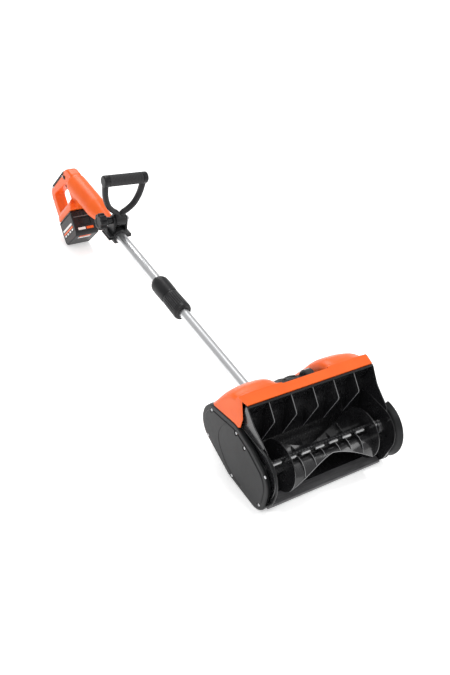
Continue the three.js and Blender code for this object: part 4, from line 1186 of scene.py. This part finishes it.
# %% Rotor
DISC_AT = 104
ROTOR_REACH = 131.5
HUB = 14
PLATE_ANGLE, ROOT_ANGLE = 105, 128
GUSSETS = (-72, -44, -18, 18, 44, 72)


def polar(radius, degrees):
    return arc(AUGER, radius, degrees, degrees, 1)[0]


def blade_edge(x):
    """Radius and angle of the blade's edge."""
    share = (abs(x) / DISC_AT) ** 1.4
    return 36 + 16 * share, 146 + 60 * share


def blade():
    rings = []
    stations, steps, half_thickness = 44, 10, 1.2
    for i in range(stations + 1):
        x = DISC_AT * (2 * i / stations - 1)
        edge_radius, edge_angle = blade_edge(x)
        front, back = [], []
        for k in range(steps + 1):
            share = k / steps
            radius = HUB - 2 + (edge_radius - HUB + 2) * share
            angle = ROOT_ANGLE + (edge_angle - ROOT_ANGLE) * share ** 1.4
            lean = math.degrees(half_thickness / radius)
            front.append(polar(radius, angle - lean))
            back.append(polar(radius, angle + lean))
        tip = polar(edge_radius + half_thickness, edge_angle)
        rings.append([(x, y, z) for y, z in [*front, tip, *back[::-1]]])
    return skin("blade", rings)


def gusset_rim(x):
    """The curve from the plate's foot to the blade's edge that a gusset follows."""
    edge_radius, edge_angle = blade_edge(x)
    foot = HUB + 4
    steps = 14
    rim = []
    for i in range(steps + 1):
        share = i / steps
        radius = foot + (edge_radius - foot) * share ** 0.8
        rim.append(polar(radius, PLATE_ANGLE + (edge_angle - PLATE_ANGLE) * share))
    return rim


def gusset(x):
    return pull("gusset", [polar(6, PLATE_ANGLE), *gusset_rim(x)], x - 1, x + 1, soft=0.8)


def plate():
    """A straight plate with five long slots."""
    line = wall([polar(5, PLATE_ANGLE), polar(37, PLATE_ANGLE)], 0, 2.6)
    body = pull("plate", line, -ROTOR_REACH, ROTOR_REACH, soft=0.6)
    slots = []
    for x in (-102, -58, -15, 28, 72):
        slot_line = wall([polar(21, PLATE_ANGLE), polar(28, PLATE_ANGLE)], -3, 6)
        slots.append(pull("slot", slot_line, x, x + 30))
    return cut(body, *slots)


def turn_over(obj):
    """Turn a piece by half a turn about the rotor's axis."""
    centre = Vector((0, *AUGER))
    turn = Matrix.Rotation(math.pi, 4, "X")
    obj.data.transform(Matrix.Translation(centre) @ turn @ Matrix.Translation(-centre))
    return obj


def opposite(obj):
    """A copy of a piece on the opposite paddle."""
    copy = obj.copy()
    copy.data = obj.data.copy()
    bpy.context.scene.collection.objects.link(copy)
    return turn_over(copy)


def plate_row(name, where, part, count, start, spacing, finish):
    """A row of parts along the front or the back plate."""
    parts = row(f"{name}_{where}", part, count, finish, (start, 0, 0), (spacing, 0, 0))
    if where == "back":
        turn_over(parts)
    return place(parts, "rotor", finish, slot="scoop_plastic")


def rotor():
    reach = HALF_MOUTH - 5
    hub = turned("rotor", [(-reach, 6.3), (-reach, HUB - 1), (1 - reach, HUB), (reach - 1, HUB),
                           (reach, HUB - 1), (reach, 6.3)], AUGER, across=True)
    discs = []
    for x in (-DISC_AT, DISC_AT):
        rim = [(x - 1.3, 10), (x - 1.3, 50), (x - 0.9, 52.4), (x + 0.9, 52.4), (x + 1.3, 50),
               (x + 1.3, 10)]
        discs.append(turned("disc", rim, AUGER, across=True, steps=96))
    braces = [gusset(x) for x in GUSSETS]
    paddle = union(plate(), blade(), *braces)
    body = union(hub, *discs, opposite(paddle), paddle)
    bore = [(-150, 0), (-150, 6.3), (150, 6.3), (150, 0)]
    return cut(body, turned("bore", bore, AUGER, across=True, steps=32))


def rotor_teeth(where):
    """Square teeth along the outer edge of a plate."""
    spacing = 7.0
    tooth = pull("tooth", wall([polar(36, PLATE_ANGLE), polar(39.8, PLATE_ANGLE)], 0.1, 2.5),
                 0, spacing * 0.55, soft=0.4)
    start = 1 - ROTOR_REACH
    return plate_row("rotor_teeth", where, tooth, 37, start, spacing, "scoop_plastic")


def rotor_rims():
    """Rounded rims on the front blade and its gussets, light grey as a painted highlight along the
    edges.
    """
    edge = []
    stations = 60
    for i in range(stations + 1):
        x = DISC_AT * (2 * i / stations - 1)
        radius, angle = blade_edge(x)
        edge.append((x, *polar(radius + 0.6, angle)))
    rims = [bead("blade rim", edge, 0.75, (0, 0, 1))]
    for x in GUSSETS:
        rims.append(bead("gusset rim", [(x, y, z) for y, z in gusset_rim(x)], 0.5))
    body = union(rims[0], *rims[1:])
    body.name = "rotor_rims"
    return place(body, "rotor", "edge_plastic", slot="scoop_plastic")


def slot_highlight_lips(where):
    """Raised lips in a row along the plate, near-white as painted light seen through the slots."""
    line = wall([polar(21, PLATE_ANGLE), polar(26, PLATE_ANGLE)], -2, 4.6)
    lip = pull("lip", line, 0, 20, soft=1)
    return plate_row("rotor_lips", where, lip, 8, -129, 34, "slot_plastic")


print(place(rotor(), "rotor", "scoop_plastic", ["auger_rotor"]).name)
print(rotor_rims().name, slot_highlight_lips("front").name, slot_highlight_lips("back").name)
print(rotor_teeth("front").name, rotor_teeth("back").name)

# %% [markdown]
# ## Tubes and twist lock
#
# The lower tube slides inside the upper one, and a twist lock grips it. Both tubes are drawn
# aluminium, so they are plain turned profiles with broken edges. The lock has a fluted sleeve to
# turn and a rounded body that is fixed to the upper tube. The flutes are a wave in the sleeve's
# radius.

# %% Tubes and lock
LOWER_RADIUS, UPPER_RADIUS, TUBE_WALL = 12.5, 14, 1.2


def tube(name, start, end, radius):
    inner = radius - TUBE_WALL
    profile = [(start, inner + 0.3), (start, radius - 0.4), (start + 0.4, radius),
               (end - 0.4, radius), (end, radius - 0.4), (end, inner + 0.3), (end - 0.3, inner),
               (start + 0.3, inner)]
    return turned(name, profile, steps=72)


def waved(name, stations, waves, steps=192):
    """A body about the tube with a waved radius. Stations are (y, radius, wave depth)."""
    rings = []
    for y, radius, depth in stations:
        ring = []
        for i in range(steps):
            a = 2 * math.pi * i / steps
            r = radius - depth * (0.5 + 0.5 * math.cos(waves * a)) ** 3
            ring.append((r * math.cos(a), y, r * math.sin(a)))
        rings.append(ring)
    return skin(name, rings)


def lock_sleeve():
    stations = [(150, 19.4, 0), (150.8, 20.6, 0), (153, 22.2, 0), (156, 23.2, 0), (159, 23.3, 0),
                (160, 22.4, 0), (161.5, 22.4, 0), (162.5, 23, 0.2), (166, 23, 1), (190, 22.6, 1.2),
                (204, 22.3, 1), (208, 22.2, 0.2), (211.5, 22.2, 0), (213.7, 21.2, 0)]
    body = waved("lock_sleeve_fluted", stations, 24)
    bore = [(149, 0), (149, 13.1), (192, 13.1), (192, 19.1), (215, 19.1), (215, 0)]
    return cut(body, turned("bore", bore))


def lock_body():
    curve = [(214.3, 21.4), (215.2, 22.2), (222, 22.8), (238, 23.3), (256, 23.5)]
    curve += [(262, 23.2), (266, 23.2), (270.5, 21.9), (274.5, 19.8), (277.5, 17.4), (280, 15.4)]
    profile = [(196, 13.1), (196, 18.5), (214.3, 18.5), *curve, (280, 14.3), (226, 14.3),
               (226, 13.1)]
    return turned("lock_body_shell", profile, steps=96)


place(tube("lower_tube_drawn", -254, 340, LOWER_RADIUS), "head", "tube_aluminium", ["lower_tube"])
place(tube("upper_tube_drawn", 226, 655, UPPER_RADIUS), "upper", "tube_aluminium", ["upper_tube"])
place(lock_sleeve(), "lock_sleeve", "fitting_plastic", ["lock_sleeve"], slot="cover_plastic")
place(lock_body(), "upper", "fitting_plastic", ["lock_body"], slot="cover_plastic")
print("tubes and lock placed")

# %% [markdown]
# ## Clamp and bow handle
#
# A two-part clamp holds the bow on the upper tube. Each half is a half ring with two flanges, and
# the upper one has ears for the bow's hub. The bow is one moulding: a hub, two curved arms and
# two elbows with the grip's diameter. Its parts are joined and then melted together, which gives
# the soft fillets of a moulding. The ridged grip is a turned profile with a wave in it.

# %% Clamp
BOW_AT = 503
HUB_HEIGHT, GRIP_HEIGHT = 40, 158


def half_ring(low, high):
    ring = [(481, 14.3), (481, 19.6), (481.8, 20.3), (524.2, 20.3), (525, 19.6), (525, 14.3)]
    return common(turned("ring", ring), block("half", (-40, 400, low), (40, 600, high)))


def flange(side, low, high):
    outline = rounded([(481, low), (525, low), (525, high), (481, high)], 1.4)
    ends = (14.6, 32.3) if side > 0 else (-32.3, -14.6)
    return pull("flange", outline, *ends, soft=1.2)


def ear(side):
    outline = hull([(BOW_AT, HUB_HEIGHT, 13), (BOW_AT, 18, 17)])
    ends = (14.5, 20.3) if side > 0 else (-20.3, -14.5)
    plate = pull("ear", outline, *ends, soft=1.4)
    foot = block("foot", (min(ends), BOW_AT - 17, 8), (max(ends), BOW_AT + 17, 19))
    return union(plate, foot)


def tube_bore():
    return turned("bore", [(470, 0), (470, 14.25), (540, 14.25), (540, 0)])


def bolt_bore():
    """Room for the bolt that carries the bow."""
    rod = [(-30, 0), (-30, 4.3), (30, 4.3), (30, 0)]
    return turned("pin", rod, (BOW_AT, HUB_HEIGHT), across=True, steps=32)


def clamp_upper():
    body = union(half_ring(0.4, 30), flange(1, 0.4, 5.4), flange(-1, 0.4, 5.4), ear(1), ear(-1))
    body = cut(body, tube_bore(), bolt_bore())
    body.name = "clamp_upper_half"
    return body


def clamp_lower():
    boss = rounded([(489, -18), (517, -18), (512, -30.3), (494, -30.3)], 4)
    body = union(half_ring(-30, -0.4), flange(1, -5.4, -0.4), flange(-1, -5.4, -0.4),
                 pull("boss", boss, -8, 8, soft=2.5))
    body = cut(body, tube_bore())
    body.name = "clamp_lower_half"
    return body


for half, node, axes in ((clamp_upper(), "clamp_upper", BOW), (clamp_lower(), "clamp_lower", TOOL)):
    place(half, "clamp", "fitting_plastic", [node], "cover_plastic", axes)
    print(half.name, len(half.data.polygons), "faces")


# %% Bow, grip and knob
def arm(side):
    """A curved arm from the hub to an elbow."""
    route = bulged([(2, 45), (8, 60), (22, 70), (37, 86), (48, 112), (52.5, 140), (53, 158)], 8)
    path = [(side * x, BOW_AT, z) for x, z in route]

    def section(share):
        width = 13.5 + 2.5 * share
        return oval(width, 16 + 2 * share, 24, 2.4)
    return swept("arm", path, section, (0, 1, 0))


def elbow(side):
    """A round end with the grip's diameter."""
    profile = [(46.6, 0), (46.6, 14.2), (47.4, 15), (58.6, 15), (60.6, 14), (61.6, 12), (61.6, 0)]
    body = turned("elbow", profile, (BOW_AT, GRIP_HEIGHT), across=True)
    return body if side > 0 else mirrored(body)


def bow():
    hub = [(-14, 0), (-14, 16), (-13, 17), (13, 17), (14, 16), (14, 0)]
    bar = [(-55, 0), (-55, 8), (55, 8), (55, 0)]
    body = union(turned("bow_moulding", hub, (BOW_AT, HUB_HEIGHT), across=True), arm(1), arm(-1),
                 elbow(1), elbow(-1),
                 turned("bar", bar, (BOW_AT, GRIP_HEIGHT), across=True, steps=32))
    return cut(melted(body, 1.1, 6), bolt_bore())


def ridged_grip():
    """The grip: ridges 4.2 mm apart between two plain cuffs."""
    half, cuff, pitch = 46.2, 5.4, 4.0
    outline = [(-half, 8.4), (-half, 14.2), (-half + 0.8, 15), (cuff - half - 0.4, 15)]
    steps = 240
    for i in range(steps + 1):
        x = (half - cuff) * (2 * i / steps - 1)
        dip = (0.5 - 0.5 * math.cos(2 * math.pi * (x + half - cuff) / pitch)) ** 0.6
        outline.append((x, 15 - 0.9 * dip))
    outline += [(half - cuff + 0.4, 15), (half - 0.8, 15), (half, 14.2), (half, 8.4)]
    return turned("bow_grip_ridged", outline, (BOW_AT, GRIP_HEIGHT), across=True, steps=72)


def knob():
    """An eight-lobed knob with a dished face and a neck."""
    lobes, steps = 8, 160

    def outline(inset):
        points = []
        for i in range(steps):
            a = 2 * math.pi * i / steps
            r = 22 - 3.4 * (0.5 + 0.5 * math.cos(lobes * a)) ** 1.6 - inset
            points.append((BOW_AT + r * math.cos(a), HUB_HEIGHT + r * math.sin(a)))
        return points
    stations = [(-59.6, 5), (-59.4, 3.2), (-58.4, 1.4), (-57, 0.4), (-55, 0), (-45, 0),
                (-42.6, 0.6), (-41.2, 2), (-40.6, 4)]
    rings = [[(x, y, z) for y, z in outline(inset)] for x, inset in stations]
    body = skin("bow_knob_lobed", rings)
    neck = [(-42, 0), (-42, 10), (-30, 10), (-28, 9), (-20.7, 9), (-20.7, 0)]
    dish = [(-62, 0), (-62, 13), (-58.6, 12), (-58.2, 0)]
    body = union(body, turned("neck", neck, (BOW_AT, HUB_HEIGHT), across=True))
    bore = [(-41, 0), (-41, 4.15), (-10, 4.15), (-10, 0)]
    return cut(body, turned("dish", dish, (BOW_AT, HUB_HEIGHT), across=True),
               turned("bore", bore, (BOW_AT, HUB_HEIGHT), across=True, steps=32))


place(bow(), "bow", "fitting_plastic", ["bow_frame"], "cover_plastic", BOW)
place(ridged_grip(), "bow", "rubber", ["bow_grip"], axes=BOW)
place(knob(), "knob", "fitting_plastic", ["bow_knob"], "cover_plastic", BOW)
print("bow, grip and knob placed")

# %% [markdown]
# ## Rear handle
#
# The rear handle is a pair of glossy orange half shells screwed together down the middle. A round
# nose takes the upper tube, a loop makes the grip, and a wide foot sits over the battery in
# steps. The solids are joined first, then melted into one form with soft fillets, then
# hollowed, and last split down the middle, which leaves the real parting line. It is drawn in the
# battery dock's own axes: p down the dock and q away from the battery.

# %% Handle shells
DOCK = (716, -59)
DOCK_ANGLE = math.radians(52)
HANDLE_HALF = 16
PARTING = 0.15                          # each shell stays this far from the middle


def dock(p, q):
    """A place (y, z) in the tool from a place in the dock's axes."""
    c, s = math.cos(DOCK_ANGLE), math.sin(DOCK_ANGLE)
    return DOCK[0] + p * c + q * s, DOCK[1] - p * s + q * c


def docked(outline):
    return [dock(p, q) for p, q in outline]


def dock_block(name, corners, half, radius=0.0, soft=0.0):
    """A pulled piece drawn in the dock's axes, centred across x."""
    outline = rounded(corners, radius) if radius else corners
    return pull(name, docked(outline), -half, half, soft)


def rectangle(p0, p1, q0, q1):
    return [(p0, q0), (p1, q0), (p1, q1), (p0, q1)]


def handle_solid():
    nose = [(551, 0), (551, 16), (552, 17), (561, 19), (575, 20.2), (593, 22), (606, 25.2),
            (622, 28.4), (630, 29), (752, 29), (760, 27), (768, 20), (770, 0)]
    loop_line = [(-35, 8), (0, 0.4), (123, 0.4), (139, 12), (145, 30), (145, 92), (136.3, 109.3),
                 (119, 118), (-8, 118), (-24, 112), (-45, 85)]
    loop = dock_block("loop", loop_line, HANDLE_HALF, 9, 6)
    shoe = dock_block("shoe", [(-8, 0.4), (104, 0.4), (108, 6), (100, 18), (-14, 18)], 32.8, 3, 3)
    steps = [dock_block("step", rectangle(-10 + 3 * i, 99 - 5 * i, 14, 23 + 5 * i), 29 - 4 * i, 3, 2)
             for i in range(3)]
    body = union(turned("rear_handle", nose), loop, shoe, *steps)
    hole = dock_block("finger hole", [(8, 27), (116, 30), (116, 93), (8, 84)], 50, 14)
    return melted(cut(body, hole), 1.5, 5)


def handle_rooms():
    """Everything that is hollow or open in the handle."""
    tube_room = [(540, 0), (540, 14.2), (655.3, 14.2), (655.3, 26), (755, 26), (755, 0)]
    return [
        turned("tube room", tube_room),
        dock_block("grip room", rectangle(-20, 92, 91, 108), 13),
        dock_block("shoe room", rectangle(10, 92, -3, 14), 18),
        dock_block("trigger slot", rectangle(10, 44, 70, 104), 6.5),
        dock_block("pad recess", rectangle(4, 115, 109.6, 125), 24),
        turned("button bore", [(-40, 0), (-40, 6.5), (40, 6.5), (40, 0)], dock(8, 101), across=True),
    ]


def handle_half(name, side):
    body = cut(handle_solid(), *handle_rooms())
    ends = (PARTING, 80) if side > 0 else (-80, -PARTING)
    half = common(body, block("half", (ends[0], 400, -300), (ends[1], 1000, 300)))
    half.name = name
    return half


HANDLE_SCREWS = [(20, 109), (104, 109), (136, 78), (126, 16)]


def handle_screws(side):
    seats = [(side * HANDLE_HALF, *dock(p, q)) for p, q in HANDLE_SCREWS]
    head = pan_screw(2.9, 0.9, 0.9)
    name = "handle_screws_right" if side > 0 else "handle_screws_left"
    turn = (0, math.radians(90 * side), 0)
    return place(spread(name, head, seats, "steel", turn), "upper", "steel")


for title, node, side in (("handle_shell_right", "handle_right_shell", 1),
                          ("handle_shell_left", "handle_left_shell", -1)):
    shell = place(handle_half(title, side), "upper", "orange_plastic", [node], sharp=50)
    print(shell.name, len(shell.data.polygons), "faces")
print(handle_screws(1).name, handle_screws(-1).name)

# %% [markdown]
# ## Grip pad, trigger and lock button
#
# The pad is soft rubber over the outer edge of the grip, with cross ridges. The trigger is a
# hooked lever in a slot, and the lock button passes through the handle from side to side.

# %% Pad, trigger, button
def grip_pad():
    body = dock_block("grip_pad_base", rectangle(4.4, 114.6, 110, 118.6), 16.2, 3, 2.6)
    ridge = dock_block("ridge", [(0, 118), (2.2, 118), (1.8, 119.5), (0.4, 119.5)], 11, 0.4, 0.4)
    step = Vector(dock(5.0, 0)) - Vector(dock(0, 0))
    start = Vector(dock(8, 0)) - Vector(dock(0, 0))
    ridges = row("grip_pad_ridges", ridge, 21, "rubber", (0, *start), (0, *step))
    place(ridges, "upper", "rubber")
    return place(body, "upper", "rubber", ["grip_pad"])


def trigger():
    outline = rounded([(11.5, 92), (11.5, 80), (16, 74), (26, 73), (41, 77), (41, 86), (20, 92)],
                      3)
    lever = pull("trigger_lever", docked(outline), -5.6, 5.6, soft=1.6)
    pin_bore = turned("bore", [(-9, 0), (-9, 2.1), (9, 2.1), (9, 0)], dock(14, 88), across=True)
    return place(cut(lever, pin_bore), "trigger", "fitting_plastic", ["trigger"], "cover_plastic")


def lock_button():
    profile = [(-19, 0), (-18.6, 3.4), (-17.6, 5.2), (-16.6, 5.9), (16.6, 5.9), (17.6, 5.2),
               (18.6, 3.4), (19, 0)]
    button = turned("lock_button", profile, dock(8, 101), across=True)
    return place(button, "lock_off", "fitting_plastic", ["lock_off_button"], "cover_plastic")


print(grip_pad().name, trigger().name, lock_button().name)

# %% [markdown]
# ## Battery
#
# The battery is a dark grey block with chamfered lower edges, a parting groove round it, sunk
# vents on its end, and coloured fields without any text. The fields are thin pads on the case,
# so their edges catch light as a printed label's edge does.

# %% Battery
BATTERY_HALF = 35


def battery_case():
    outline = [(0, -0.4), (104, -0.4), (104, -64), (96, -72), (8, -72), (0, -60)]
    body = dock_block("battery_shell", outline, BATTERY_HALF, 7, 4)
    inner = dock_block("inner", [(2, -53), (102, -53), (102, -54.2), (2, -54.2)], BATTERY_HALF - 0.8)
    groove = dock_block("groove", rectangle(-2, 106, -54.2, -53), BATTERY_HALF + 2)
    vents = [dock_block("vent", rectangle(100.5, 106, -16 - 6 * i, -13 - 6 * i), 22) for i in range(5)]
    latch_room = dock_block("latch room", rectangle(-2, 7, -46, -24), 17)
    rails = []
    for side in (-1, 1):
        rail = pull("rail", docked(rectangle(-2, 90, -9, -5)), *sorted((side * 33, side * 37)))
        rails.append(rail)
    return cut(body, cut(groove, inner), *vents, latch_room, *rails)


def label(name, corners, x, finish):
    """A thin field on one side of the battery."""
    outline = docked(rounded(corners, 2))
    ends = (x - 0.3, x) if x < 0 else (x, x + 0.3)
    return place(pull(name, outline, *ends), "battery", finish, slot="battery_plastic")


def battery_labels():
    for side, word in ((-1, "left"), (1, "right")):
        x = side * (BATTERY_HALF + 0.05)
        label("battery_white_" + word, rectangle(14, 92, -36, -30), x, "label_white")
        label("battery_orange_" + word, rectangle(14, 92, -44, -39), x, "orange_plastic")
        for i in range(4):
            patch = rectangle(16 + 20 * i, 28 + 20 * i, -51, -46)
            label(f"battery_patch_{word}_{i + 1}", patch, x, "label_white")


def end_fields():
    """Coloured fields and raised bars on the end that faces the head."""
    fields = {
        "battery_field_white": (-26, -4, -59, -52, "label_white"),
        "battery_field_orange": (-1, 20, -59, -52, "orange_plastic"),
        "battery_line": (-30, 30, -20.4, -19.2, "edge_plastic"),
    }
    for name, (x0, x1, q0, q1, finish) in fields.items():
        field = pull(name, docked(rectangle(-0.4, 0.3, q0, q1)), x0, x1)
        place(field, "battery", finish, slot="battery_plastic")
    bar = pull("bar", docked(rounded(rectangle(-1.2, 0.3, -18, -4), 0.5)), 0, 4, soft=0.5)
    bars = row("battery_bars", bar, 6, "battery_plastic", (-29.5, 0, 0), (11, 0, 0))
    place(bars, "battery", "battery_plastic")
    for i, finish in enumerate(("orange_plastic", "label_white")):
        spot = docked(rectangle(16 + 12 * i, 24 + 12 * i, -72.3, -71.7))
        place(pull(f"battery_low_field_{i + 1}", spot, -22, 14), "battery", finish,
              slot="battery_plastic")


def battery_button():
    outline = rectangle(1, 5, -45.4, -24.6)
    button = dock_block("battery_release_button", outline, 16.4, 1.2, 1.6)
    return place(button, "battery_latch", "fitting_plastic", ["battery_button"], "battery_plastic")


case = place(battery_case(), "battery", "battery_plastic", ["battery_case"])
battery_labels()
end_fields()
print(case.name, battery_button().name)

# %% [markdown]
# ## Inner pieces
#
# The remaining pieces keep their CAD shape, because that shape is right and most of it is
# hidden: the motor with its bracket, the drive, the bearings and the electrics. Each
# takes the finish of its own material.

# %% Finishes of the inner pieces
INNER = {
    "steel": ["motor", "motor_shaft", "motor_bracket", "left_bearing", "right_bearing",
              "auger_shaft", "clamp_screw_left", "clamp_screw_right", "bow_bolt", "trigger_pin"],
    "scoop_plastic": ["motor_saddle", "drive_pulley", "driven_pulley", "lock_wedge"],
    "rubber": ["drive_belt", "motor_cable"],
    "battery_plastic": ["power_switch"],
    "circuit_board": ["controller"],
    "brass_contacts": ["terminal_block"],
}


def dress(node, finish):
    """Give a piece that keeps its CAD shape its finish."""
    materials = frame["nodes"][node].data.materials
    materials.clear()
    materials.append(finishes[finish])


for finish, nodes in INNER.items():
    for node in nodes:
        dress(node, finish)
print("inner pieces:", sum(len(nodes) for nodes in INNER.values()))
